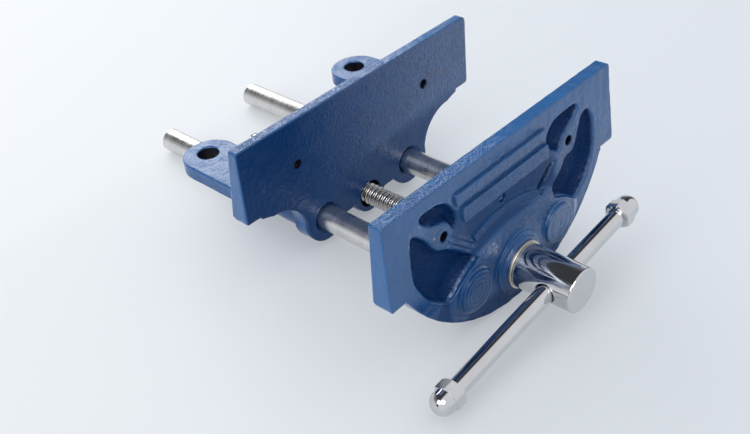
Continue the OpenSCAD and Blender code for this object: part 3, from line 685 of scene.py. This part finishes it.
class VISE_OT_guide_bars(bpy.types.Operator):
    """Two ground guide bars with chamfered ends"""
    bl_idname = "vise.guide_bars"
    bl_label = "Guide Bars"

    def execute(self, context):
        w = context.scene.vise_metalwork
        ch = w.bar_chamfer / MM
        start, end = CLAMP_FRONT - 3.5 - 3.9, BAR_HIGH[1]
        for side, x in (("left", -BAR_X), ("right", BAR_X)):
            profile = softened([(start, 0), (start, BAR_R), (end - ch, BAR_R), (end, BAR_R - ch), (end, 0)],
                               [0.3, 0.5, 0.4])
            shell = turned(profile, np.array([x, 0, BAR_Z]), [0, 1, 0], w.sides)
            piece = make_piece(f"guide_bar_{side}_ground", *shell)
            finish_piece(piece, metal(context, "ground_steel"), "front", "bright_steel", f"guide_bar_{side}")
        return {"FINISHED"}


class VISE_OT_thrust_washer(bpy.types.Operator):
    """Brass washer between the front jaw and the head"""
    bl_idname = "vise.thrust_washer"
    bl_label = "Thrust Washer"

    def execute(self, context):
        w = context.scene.vise_metalwork
        low, high = WASHER_LOW[1], WASHER_HIGH[1]
        r, hole = (WASHER_HIGH[0] - WASHER_LOW[0]) / 2, SCREW_R + 0.2
        ring = rounded([(low, hole), (low, r), (high, r), (high, hole)], 0.25, 5)
        piece = make_piece("thrust_washer_brass", *swept_ring(ring, np.array([0, 0, SCREW_Z]), w.sides))
        finish_piece(piece, metal(context, "turned_brass"), "front", "brass", "thrust_washer")
        return {"FINISHED"}


def swept_ring(section, centre, sides):
    """Closed ring about the Y axis: a closed section of (y, radius), in order from the bore's front edge outwards,
    carried round. Normals are square to the section."""
    p = np.asarray(section, float)
    chord = np.roll(p, -1, 0) - p
    square = np.stack([-chord[:, 1], chord[:, 0]], 1)
    normal = square + np.roll(square, 1, 0)
    turn = 2 * np.pi * np.arange(sides) / sides
    ring = np.stack([np.sin(turn), 0 * turn, np.cos(turn)], 1)
    axis = np.array([0.0, 1.0, 0.0])
    point = p[:, 0, None, None] * axis + p[:, 1, None, None] * ring + centre
    out = normal[:, 0, None, None] * axis + normal[:, 1, None, None] * ring
    index = np.arange(len(p) * sides).reshape(len(p), sides)
    after, up = np.roll(index, -1, 1), np.roll(index, -1, 0)
    quads = np.stack([index, after, np.roll(after, -1, 0), up], 2).reshape(-1, 4)
    return point.reshape(-1, 3), quads, out.reshape(-1, 3)


def thread_shell(w, start, end, sides=56):
    """Right-hand thread on the Y axis: a profile of root, flank, crest and flank within one pitch is carried along
    a helix. Its depth fades in and out over half a turn, and what would pass the ends stays on them."""
    pitch, depth = w.pitch / MM, w.thread / MM
    root = SCREW_R - depth
    s = np.array([0.0, 0.04, 0.14, 0.19, 0.27, 0.35, 0.43, 0.48, 0.58, 0.62, 0.75, 0.88])
    rise = np.array([0.0, 0.05, 0.82, 0.97, 1.0, 1.0, 0.97, 0.82, 0.05, 0.0, 0.0, 0.0])
    turns = (end - start) / pitch
    steps = int(np.ceil((turns + 2) * sides))
    i = np.arange(steps + 1) - sides
    travel = i / sides * pitch
    left = end - start - pitch - travel
    fade = unit((travel - 1.5) / (0.6 * pitch)) * unit((left - 1.5) / (0.6 * pitch))
    angle = 2 * np.pi * i / sides
    # Seen from the head, a right-hand thread turns clockwise as it leads away
    ring = np.stack([-np.sin(angle), 0 * angle, np.cos(angle)], 1)
    y = np.clip(start + travel[:, None] + s * pitch, start, end)
    r = root + depth * rise * fade[:, None]
    point = r[..., None] * ring[:, None] + y[..., None] * [0, 1, 0] + [0, 0, SCREW_Z]
    n, m = r.shape
    index = np.arange(n * m).reshape(n, m)
    last = np.minimum(np.arange(n) + sides, n - 1)
    below = np.concatenate([index, index[last, :1]], 1)
    quads = np.stack([below[:-1, :-1], below[:-1, 1:], below[1:, 1:], below[1:, :-1]], 2).reshape(-1, 4)
    return point.reshape(-1, 3), quads


class VISE_OT_lead_screw(bpy.types.Operator):
    """Lead screw with its true right-hand thread and plain journal"""
    bl_idname = "vise.lead_screw"
    bl_label = "Lead Screw"

    def execute(self, context):
        w = context.scene.vise_metalwork
        centre = np.array([0, 0, SCREW_Z])
        root = SCREW_R - w.thread / MM
        shank_end = CLAMP_FRONT - 0.5
        back = SCREW_HIGH[1]
        point, quads = thread_shell(w, shank_end - 1, back - 1.2)
        piece = make_piece("lead_screw_thread", point, quads)
        weld(piece, 0.004)
        close_ends(piece)
        shank = softened([(SCREW_LOW[1], 0), (SCREW_LOW[1], SCREW_R), (shank_end, SCREW_R), (shank_end + 0.6, root),
                          (shank_end + 0.6, 0)], [0.2, 0.3, 0.0])
        stub = softened([(back - 2.2, 0), (back - 2.2, root + 0.01), (back - 0.8, root + 0.01), (back, root - 0.8),
                         (back, 0)], [0.0, 0.2, 0.2])
        ends = (turned(profile, centre, [0, 1, 0], 64) for profile in (shank, stub))
        rest = make_piece("lead_screw_ends", *merged(*ends))
        for shell in (piece, rest):
            finish_piece(shell, metal(context, "cut_steel"), "screw", "screw_steel", "lead_screw")
        return {"FINISHED"}


def weld(piece, distance):
    """Joins points that lie within a distance in millimetres, and turns the faces outwards."""
    bm = bmesh.new()
    bm.from_mesh(piece.data)
    bmesh.ops.remove_doubles(bm, verts=bm.verts, dist=distance * MM)
    bmesh.ops.dissolve_degenerate(bm, edges=bm.edges, dist=1e-7)
    bmesh.ops.recalc_face_normals(bm, faces=bm.faces)
    bm.to_mesh(piece.data)
    bm.free()
    piece.data.shade_smooth()


def close_ends(piece):
    """Closes the open ends of a tube with a face over each."""
    bm = bmesh.new()
    bm.from_mesh(piece.data)
    rim = [e for e in bm.edges if e.is_boundary]
    bmesh.ops.holes_fill(bm, edges=rim, sides=0)
    bmesh.ops.recalc_face_normals(bm, faces=bm.faces)
    bm.to_mesh(piece.data)
    bm.free()
    piece.data.set_sharp_from_angle(angle=np.radians(50))


class VISE_OT_screw_head(bpy.types.Operator):
    """Plated head with its cross hole for the handle"""
    bl_idname = "vise.screw_head"
    bl_label = "Screw Head"

    def execute(self, context):
        w = context.scene.vise_metalwork
        edge, hole = w.head_edge / MM, w.cross_hole / MM / 2
        radius = (HEAD_HIGH[0] - HEAD_LOW[0]) / 2
        mid_y = (HEAD_LOW[1] + HEAD_HIGH[1]) / 2
        half = (HEAD_HIGH[1] - HEAD_LOW[1]) / 2
        cross_y = HANDLE_MID[1]
        a = HANDLE_AXIS

        def distance(x, y, z):
            """Cylinder along Y with round edges, less a hole along the handle with a wider round rim, and less
            the blind seat of the screw."""
            up = z - SCREW_Z
            d = common(np.hypot(x, up) - radius, np.abs(y - mid_y) - half, edge)
            off = np.hypot(y - cross_y, a[0] * up - a[2] * x)
            d = cut(d, off - hole, 1.3)
            seat = np.maximum(np.hypot(x, up) - SCREW_R - 0.03, HEAD_HIGH[1] - 12 - y)
            return cut(d, seat, 0.2)

        point, faces, normal = solid_skin(distance, HEAD_LOW - 0.9, HEAD_HIGH + 0.9, 0.4)
        piece = make_piece("screw_head_plated", point, faces, normal)
        finish_piece(piece, metal(context, "bright_plating"), "screw", "chrome", "screw_head")
        return {"FINISHED"}


def handle_place():
    """Axes of the handle: along it, across it level with the head's axis, and square to both."""
    a = HANDLE_AXIS
    across = np.array([0.0, 1.0, 0.0])
    return a, across, np.cross(a, across)


class VISE_OT_handle(bpy.types.Operator):
    """Sliding handle bar and its two domed cap nuts"""
    bl_idname = "vise.handle"
    bl_label = "Handle"

    def execute(self, context):
        w = context.scene.vise_metalwork
        half, r = w.handle_len / MM / 2, w.handle_d / MM / 2
        profile = softened([(-half, 0), (-half, r), (half, r), (half, 0)], [0.5, 0.5])
        shell = turned(profile, HANDLE_MID, HANDLE_AXIS, w.sides)
        piece = make_piece("handle_bar_plated", *shell)
        finish_piece(piece, metal(context, "bright_plating"), "handle", "chrome", "handle_bar")
        for side, sign in (("left", -1), ("right", 1)):
            shell = cap_nut(w, HANDLE_MID + sign * half * HANDLE_AXIS, sign)
            nut = make_piece(f"cap_nut_{side}_plated", *shell)
            bevel = nut.modifiers.new("Edges", "BEVEL")
            bevel.width = 0.3 * MM
            bevel.segments = 3
            bevel.limit_method = "ANGLE"
            bevel.angle_limit = np.radians(22)
            bevel.harden_normals = True
            finish_piece(nut, metal(context, "bright_plating"), "handle", "chrome", f"cap_nut_{side}")
        return {"FINISHED"}


def cap_nut(w, seat, sign, per_side=16):
    """Domed cap nut: round the axis the hexagon's radius goes as one over the cosine from the flat's middle. Rows
    run from the seat up the flats between two chamfer cones, in over the top to the dome's cylinder, and
    along a quarter circle to the pole."""
    flat, hexa, full, dome = w.nut_af / MM / 2, w.nut_hex / MM, w.nut_h / MM, w.dome_r / MM
    sides = 6 * per_side
    turn = 2 * np.pi * np.arange(sides) / sides
    within = (turn + np.pi / 6) % (np.pi / 3) - np.pi / 6
    wide = flat / np.cos(within)
    start = 0.577 * (wide - flat)
    rows = [(flat * np.ones(sides) - 0.15, 0 * turn), (wide, start), (wide, hexa - start),
            (flat * np.ones(sides) - 0.1, hexa + 0 * turn), (dome + 0.02 + 0 * turn, hexa + 0 * turn),
            (dome + 0 * turn, hexa + 0.1 + 0 * turn)]
    for t in np.linspace(0, np.pi / 2, 15)[:-1]:
        rows.append((dome * np.cos(t) + 0 * turn, full - dome + dome * np.sin(t) + 0 * turn))
    a, u, v = handle_place()
    tip = sign * a
    ring = np.cos(turn)[:, None] * u + np.sin(turn)[:, None] * v
    point = np.concatenate([r[:, None] * ring + h[:, None] * tip for r, h in rows] + [[0 * tip, full * tip]]) + seat
    count = len(rows)
    index = np.arange(count * sides).reshape(count, sides)
    after = np.roll(index, -1, 1)
    quads = np.stack([index[:-1], after[:-1], after[1:], index[1:]], 2).reshape(-1, 4)
    first = np.stack([np.full(sides, count * sides), after[0], index[0]], 1)
    last = np.stack([np.full(sides, count * sides + 1), index[-1], after[-1]], 1)
    faces = quads.tolist() + first.tolist() + last.tolist()
    if sign > 0:
        faces = [f[::-1] for f in faces]
    return point, faces


class VISE_OT_small_parts(bpy.types.Operator):
    """Finishes of the nut, set screw, pins and collar"""
    bl_idname = "vise.small_parts"
    bl_label = "Small Parts"

    def execute(self, context):
        for name in ("screw_nut", "nut_set_screw", "head_pin", "retaining_collar", "collar_pin"):
            node = frame["nodes"][name]
            node.data.materials.clear()
            node.data.materials.append(metal(context, "cut_steel" if name == "screw_nut" else "plain_steel"))
        return {"FINISHED"}


# Materials

def add_mask(piece, name, values):
    """Value at each point of a piece that its material reads."""
    layer = piece.data.attributes.new(name, "FLOAT", "POINT")
    layer.data.foreach_set("value", np.asarray(values, np.float32))


def add_node(tree, kind, inputs=(), **settings):
    """Node of a tree with its settings, and its inputs set or linked by name or number."""
    node = tree.nodes.new(kind)
    for key, value in settings.items():
        setattr(node, key, value)
    for key, value in dict(inputs).items():
        if isinstance(value, bpy.types.NodeSocket):
            tree.links.new(value, node.inputs[key])
        else:
            node.inputs[key].default_value = value
    return node


def add_ramp(tree, factor, stops):
    """Colour ramp through (place, grey) or (place, colour) stops."""
    node = add_node(tree, "ShaderNodeValToRGB", {"Fac": factor})
    points = node.color_ramp.elements
    while len(points) < len(stops):
        points.new(0.5)
    for point, (place, tone) in zip(points, stops):
        point.position = place
        point.color = (tone, tone, tone, 1) if isinstance(tone, (int, float)) else tone
    return node.outputs["Color"]


def add_math(tree, operation, a, b=0.0, c=0.0):
    """Result of a math node."""
    return add_node(tree, "ShaderNodeMath", {0: a, 1: b, 2: c}, operation=operation).outputs[0]


def add_mix(tree, factor, a, b):
    """Mix of two colours."""
    return add_node(tree, "ShaderNodeMix", {0: factor, 6: a, 7: b}, data_type="RGBA").outputs[2]


def add_noise(tree, place, scale, detail=2.0, roughness=0.5):
    """Value of a noise texture."""
    return add_node(tree, "ShaderNodeTexNoise", {"Vector": place, "Scale": scale, "Detail": detail,
                                                 "Roughness": roughness}).outputs["Fac"]


def add_range(tree, value, low, high, to_low=0.0, to_high=1.0, **settings):
    """Value carried from one range to another and held at its ends."""
    return add_node(tree, "ShaderNodeMapRange", {"Value": value, "From Min": low, "From Max": high, "To Min": to_low,
                                                 "To Max": to_high}, **settings).outputs["Result"]


def add_dot(tree, vector, way):
    """Dot product of a vector and a fixed way."""
    return add_node(tree, "ShaderNodeVectorMath", {0: vector, 1: way}, operation="DOT_PRODUCT").outputs["Value"]


def seen_rays(tree):
    """One for the rays of the camera, mirrors and glass, and nought for the light that falls on the object."""
    path = tree.nodes.new("ShaderNodeLightPath").outputs
    either = add_math(tree, "MAXIMUM", path["Is Glossy Ray"], path["Is Transmission Ray"])
    return add_math(tree, "MAXIMUM", path["Is Camera Ray"], either)


def node_group(name, inputs, outputs):
    """Empty shader node group with named inputs as (name, kind, default) and named outputs as (name, kind)."""
    tree = bpy.data.node_groups.new(name, "ShaderNodeTree")
    for label, kind, default in inputs:
        socket = tree.interface.new_socket(label, in_out="INPUT", socket_type=kind)
        if default is not None:
            socket.default_value = default
    for label, kind in outputs:
        tree.interface.new_socket(label, in_out="OUTPUT", socket_type=kind)
    return tree, tree.nodes.new("NodeGroupInput"), tree.nodes.new("NodeGroupOutput")


def millimetres(tree):
    """Place on the piece in millimetres."""
    place = tree.nodes.new("ShaderNodeTexCoord").outputs["Object"]
    node = add_node(tree, "ShaderNodeMapping", {"Vector": place, "Scale": (1000, 1000, 1000)})
    return node.outputs["Vector"]


def brushed_group():
    """Fine lines round the Y axis and slow smudges, for turned and ground metal."""
    tree = bpy.data.node_groups.get("Fine Lines")
    if tree:
        return tree
    tree, given, result = node_group("Fine Lines", [
        ("Place", "NodeSocketVector", None), ("Fineness", "NodeSocketFloat", 1.0),
        ("Smudge Size", "NodeSocketFloat", 0.1), ("Low", "NodeSocketFloat", 0.1), ("High", "NodeSocketFloat", 0.3)],
        [("Roughness", "NodeSocketFloat"), ("Lines", "NodeSocketFloat"), ("Smudges", "NodeSocketFloat")])
    lines = add_noise(tree, given.outputs["Place"], given.outputs["Fineness"], 3.0)
    smudge = add_noise(tree, given.outputs["Place"], given.outputs["Smudge Size"], 4.0, 0.6)
    spread = add_math(tree, "MULTIPLY_ADD", lines, 0.35, add_math(tree, "MULTIPLY", smudge, 0.65))
    rough = add_range(tree, spread, 0.32, 0.68, given.outputs["Low"], given.outputs["High"])
    for label, value in (("Roughness", rough), ("Lines", lines), ("Smudges", smudge)):
        tree.links.new(value, result.inputs[label])
    return tree


def new_material(name):
    """Material with an empty tree, its Principled shader and its output."""
    material = bpy.data.materials.new(name)
    material.use_nodes = True
    tree = material.node_tree
    tree.nodes.clear()
    shader = tree.nodes.new("ShaderNodeBsdfPrincipled")
    output = tree.nodes.new("ShaderNodeOutputMaterial")
    tree.links.new(shader.outputs["BSDF"], output.inputs["Surface"])
    return material, tree, shader


def enamel(context):
    """Glossy blue enamel over cast iron: orange peel, lumps and specks as bumps, a deeper blue as painted shade in
    the pockets, between the lumps, by the bands, towards the foot and on the rear clamp face, and near black in the
    bores as bare iron and painted shade.
    """
    found = bpy.data.materials.get("blue_enamel")
    if found:
        return found
    f = context.scene.vise_finish
    material, tree, shader = new_material("blue_enamel")
    place = millimetres(tree)
    pool, coarse, bore = (add_node(tree, "ShaderNodeAttribute", attribute_name=name).outputs["Fac"]
                          for name in ("pool", "coarse", "bore"))
    tone = add_noise(tree, place, 0.05, 3.0)
    lump = add_ramp(tree, add_noise(tree, place, 0.55, 4.0, 0.6), [(0.4, 0.0), (0.5, 0.45), (0.6, 1.0)])
    # Painted shade: the enamel darkens in the hollows between the lumps where the casting is coarse, and also at
    # random with the slow tone
    low = add_math(tree, "MULTIPLY", coarse, add_math(tree, "MULTIPLY_ADD", lump, -0.75, 0.75))
    low = add_math(tree, "MAXIMUM", low, add_range(tree, tone, 0.3, 0.7, 0.0, 0.3))
    # The enamel goes towards its shaded blue wherever the painted shade mask or the lump hollows call for it
    blue = add_mix(tree, add_math(tree, "MAXIMUM", pool, low), f.enamel, f.enamel_shaded)
    speck = add_node(tree, "ShaderNodeTexVoronoi", {"Vector": place, "Scale": 0.4, "Randomness": 1.0})
    dot = add_ramp(tree, speck.outputs["Distance"], [(0.0, 1.0), (0.16, 0.35), (0.3, 0.0)])
    rare = add_ramp(tree, add_noise(tree, place, 0.1, 1.0), [(0.48, 0.0), (0.6, 1.0)])
    patchy = add_math(tree, "MULTIPLY", coarse, add_math(tree, "MULTIPLY_ADD", rare, 0.45, 0.55))
    height = add_math(tree, "MULTIPLY", add_noise(tree, place, 0.3, 2.0, 0.4), f.peel)
    height = add_math(tree, "MULTIPLY_ADD", add_math(tree, "MULTIPLY", lump, patchy), f.lumps, height)
    height = add_math(tree, "MULTIPLY_ADD", add_math(tree, "MULTIPLY", dot, patchy), 0.5, height)
    bump = add_node(tree, "ShaderNodeBump", {"Strength": 1.0, "Distance": 0.5 * MM, "Height": height})
    rough = add_range(tree, tone, 0.3, 0.7, f.enamel_gloss * 0.8, f.enamel_gloss * 1.25)
    # Less coat where the painted shade and the bores are, so that they show less reflection
    glaze = add_range(tree, add_math(tree, "MAXIMUM", pool, bore), 0.0, 1.0, 1.0, 0.08)
    for label, value in (("Base Color", add_mix(tree, bore, blue, f.bore)), ("Roughness", rough),
                         ("Normal", bump.outputs["Normal"]), ("Coat Normal", bump.outputs["Normal"]),
                         ("Coat Weight", glaze)):
        tree.links.new(value, shader.inputs[label])
    for label, value in (("IOR", 1.5), ("Specular IOR Level", 0.04), ("Coat Roughness", 0.11), ("Coat IOR", 1.62)):
        shader.inputs[label].default_value = value
    return material


# Colour, roughness from and to, fineness and stretch of the lines, bump in millimetres, and grime
METALS = {
    "ground_steel": ("ground", 0.2, 0.4, 1.2, (0.12, 2.0, 0.12), 0.01, 0.12),
    "cut_steel": ("cut", 0.12, 0.3, 2.0, (1, 1, 1), 0.02, 0.15),
    "plain_steel": ("plain", 0.25, 0.45, 1.5, (1, 1, 1), 0.02, 0.25),
    "bright_plating": ("chrome", 0.035, 0.12, 1.0, (1, 1, 1), 0.002, 0.05),
    "turned_brass": ("brass", 0.2, 0.4, 1.5, (1, 1, 1), 0.02, 0.2)}


def metal(context, name):
    """Bare or plated metal: stretched noise gives its fine lines, slow smudges its roughness, with a little grime."""
    found = bpy.data.materials.get(name)
    if found:
        return found
    setting, low, high, fineness, stretch, bump_mm, grime = METALS[name]
    tint = getattr(context.scene.vise_finish, setting)
    material, tree, shader = new_material(name)
    mapped = add_node(tree, "ShaderNodeMapping", {"Vector": millimetres(tree), "Scale": stretch})
    group = add_node(tree, "ShaderNodeGroup", node_tree=brushed_group())
    for key, value in (("Fineness", fineness), ("Smudge Size", 0.09), ("Low", low), ("High", high)):
        group.inputs[key].default_value = value
    tree.links.new(mapped.outputs["Vector"], group.inputs["Place"])
    tree.links.new(group.outputs["Roughness"], shader.inputs["Roughness"])
    dark = tuple(v * (1 - grime) for v in tint[:3]) + (1,)
    tone = add_ramp(tree, group.outputs["Smudges"], [(0.35, dark), (0.62, tuple(tint[:3]) + (1,))])
    tree.links.new(tone, shader.inputs["Base Color"])
    bump = add_node(tree, "ShaderNodeBump", {"Strength": 0.6, "Distance": bump_mm * MM,
                                             "Height": group.outputs["Lines"]})
    tree.links.new(bump.outputs["Normal"], shader.inputs["Normal"])
    shader.inputs["Metallic"].default_value = 1.0
    return material


# Stage

class VISE_OT_stage(bpy.types.Operator):
    """Pale table, soft studio light and the camera"""
    bl_idname = "vise.stage"
    bl_label = "Stage"

    def execute(self, context):
        s = context.scene.vise_stage
        self.add_floor(s)
        self.add_lights(s)
        self.add_world()
        data = bpy.data.cameras.new("photo_camera")
        data.sensor_width = 36.0
        data.lens = s.lens
        data.shift_x = 0.0811
        data.shift_y = 0.0076
        data.clip_start, data.clip_end = 0.01, 50
        camera = bpy.data.objects.new("photo_camera", data)
        context.scene.collection.objects.link(camera)
        right, up = Vector((0.7021, -0.7031, -0.1130)), Vector((0.4859, 0.3570, 0.7978))
        back = right.cross(up).normalized()
        up = back.cross(right).normalized()
        camera.matrix_world = Matrix.Translation((-0.32486, -0.3952, 0.29056)) @ Matrix(
            (right.normalized(), up, back)).transposed().to_4x4()
        context.scene.camera = camera
        context.scene.view_settings.view_transform = "Standard"
        return {"FINISHED"}

    def add_floor(self, s):
        """A table on the two lowest points. It rises along Y by the tangent of its tilt, z = level - slope w
        log(1 + exp((bend - y) / w)), and runs on level behind the bend, under the bars that slide out."""
        slope, level, width = np.tan(s.tilt), -38.15, 3.0
        bend = (level + 56.5) / slope - 164.9
        y = np.concatenate([[-4000.0], np.linspace(bend - 18, bend + 18, 19), [4000.0]])
        rise = level - slope * width * np.logaddexp(0, (bend - y) / width)
        point = np.array([[x, v, z] for v, z in zip(y, rise) for x in (-4000.0, 4000.0)])
        floor = make_piece("table", point, [[2 * i, 2 * i + 1, 2 * i + 3, 2 * i + 2] for i in range(len(y) - 1)])
        material, tree, shader = new_material("table_top")
        place = millimetres(tree)
        # Painted light and shade on the table: its colour changes from the paler far left to the darker near right
        # along a slanting line, roughened by slow noise
        near = add_math(tree, "MULTIPLY_ADD", add_noise(tree, place, 0.004), 60.0,
                        add_dot(tree, place, (0.78, -0.62, 0.0)))
        near = add_range(tree, near, -420.0, 330.0, interpolation_type="SMOOTHSTEP")
        tone = add_mix(tree, near, s.floor, s.floor_near_shaded)
        tree.links.new(tone, shader.inputs["Base Color"])
        shader.inputs["Roughness"].default_value = 0.5
        shader.inputs["Specular IOR Level"].default_value = 0.25
        # Two fifths of what the camera and mirrors see is the table's own colour, so that its shadows stay soft
        glow = add_node(tree, "ShaderNodeEmission", {"Color": tone, "Strength": 1.04})
        own = add_math(tree, "MULTIPLY", seen_rays(tree), 0.4)
        blend = add_node(tree, "ShaderNodeMixShader", {0: own, 1: shader.outputs[0], 2: glow.outputs[0]})
        output = next(n for n in tree.nodes if n.type == "OUTPUT_MATERIAL")
        tree.links.new(blend.outputs[0], output.inputs["Surface"])
        floor.data.materials.append(material)

    def add_lights(self, s):
        """A large soft box behind on the right, and a weaker fill on the left."""
        aim = Vector((0.0, -0.08, 0.0))
        for name, place, size, power, tint in (
                ("soft_box", (0.55, 1.24, 0.78), (1.2, 0.66), s.key, (1.0, 0.99, 0.97)),
                ("side_fill", (-1.3, -0.1, 0.9), (0.9, 0.9), s.fill, (0.96, 0.98, 1.0))):
            data = bpy.data.lights.new(name, "AREA")
            data.shape = "RECTANGLE"
            data.size, data.size_y = size
            data.energy = power
            data.color = tint
            lamp = bpy.data.objects.new(name, data)
            bpy.context.scene.collection.objects.link(lamp)
            lamp.location = place
            lamp.rotation_euler = (aim - Vector(place)).to_track_quat("-Z", "Y").to_euler()

    def add_world(self):
        """Plain soft light from above for the object. The camera, mirrors and glass see a pale backdrop,
        a dark ceiling, a bright wall in front with a warm edge, and a window beside the camera."""
        world = bpy.data.worlds.new("studio")
        bpy.context.scene.world = world
        world.use_nodes = True
        tree = world.node_tree
        tree.nodes.clear()
        way = tree.nodes.new("ShaderNodeTexCoord").outputs["Generated"]
        parts = add_node(tree, "ShaderNodeSeparateXYZ", {0: way}).outputs
        behind = add_range(tree, parts["Y"], 0.1, 0.4)
        pale = add_ramp(tree, parts["Z"], [(0.0, (0.8, 0.83, 0.87, 1)), (0.2, (0.66, 0.67, 0.7, 1)),
                                           (0.45, (0.24, 0.245, 0.26, 1)), (0.75, (0.05, 0.053, 0.06, 1))])
        turned = add_math(tree, "MULTIPLY_ADD", parts["Y"], 0.5, 0.5)
        wall = add_ramp(tree, turned, [(0.42, (0.86, 0.87, 0.9, 1)), (0.47, (0.6, 0.6, 0.62, 1)),
                                       (0.5, (0.22, 0.12, 0.1, 1)), (0.53, (0.04, 0.043, 0.05, 1))])
        window = add_range(tree, add_dot(tree, way, (-0.5, -0.45, 0.74)), 0.955, 0.97, 1.0, 8.0)
        seen = add_node(tree, "ShaderNodeVectorMath", {0: add_mix(tree, behind, wall, pale), "Scale": window},
                        operation="SCALE").outputs["Vector"]
        level = add_range(tree, add_dot(tree, way, (0.1, 0.7, 0.7)), -0.7, 1.0, 0.4, 1.25)
        soft = add_node(tree, "ShaderNodeBackground", {"Color": (0.93, 0.96, 1.0, 1), "Strength": level})
        shown = add_node(tree, "ShaderNodeBackground", {"Color": seen, "Strength": 1.0})
        mix = add_node(tree, "ShaderNodeMixShader", {0: seen_rays(tree), 1: soft.outputs[0], 2: shown.outputs[0]})
        output = tree.nodes.new("ShaderNodeOutputWorld")
        tree.links.new(mix.outputs[0], output.inputs["Surface"])


class VISE_PT_panel(bpy.types.Panel):
    """Steps and settings of the vise"""
    bl_idname = "VISE_PT_panel"
    bl_label = "Bench Vise"
    bl_space_type = "VIEW_3D"
    bl_region_type = "UI"
    bl_category = "Vise"

    def draw(self, context):
        column = self.layout.column()
        for operator in OPERATORS:
            column.operator(operator.bl_idname)
        for group in ("vise_castings", "vise_metalwork", "vise_finish", "vise_stage"):
            settings = getattr(context.scene, group)
            box = column.box()
            for key in settings.__annotations__:
                box.prop(settings, key)


GROUPS = {"vise_castings": VISE_PG_castings, "vise_metalwork": VISE_PG_metalwork,
          "vise_finish": VISE_PG_finish, "vise_stage": VISE_PG_stage}
OPERATORS = (VISE_OT_front_jaw, VISE_OT_rear_jaw, VISE_OT_guide_bars, VISE_OT_thrust_washer,
             VISE_OT_lead_screw, VISE_OT_screw_head, VISE_OT_handle, VISE_OT_small_parts, VISE_OT_stage)


def register():
    for cls in (*GROUPS.values(), *OPERATORS, VISE_PT_panel):
        bpy.utils.register_class(cls)
    for name, cls in GROUPS.items():
        setattr(bpy.types.Scene, name, PointerProperty(type=cls))


def unregister():
    for name in GROUPS:
        delattr(bpy.types.Scene, name)
    for cls in reversed((*GROUPS.values(), *OPERATORS, VISE_PT_panel)):
        bpy.utils.unregister_class(cls)


def main():
    """Registers the classes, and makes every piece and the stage."""
    register()
    for operator in OPERATORS:
        group, name = operator.bl_idname.split(".")
        getattr(getattr(bpy.ops, group), name)()


if __name__ == "__main__":
    main()
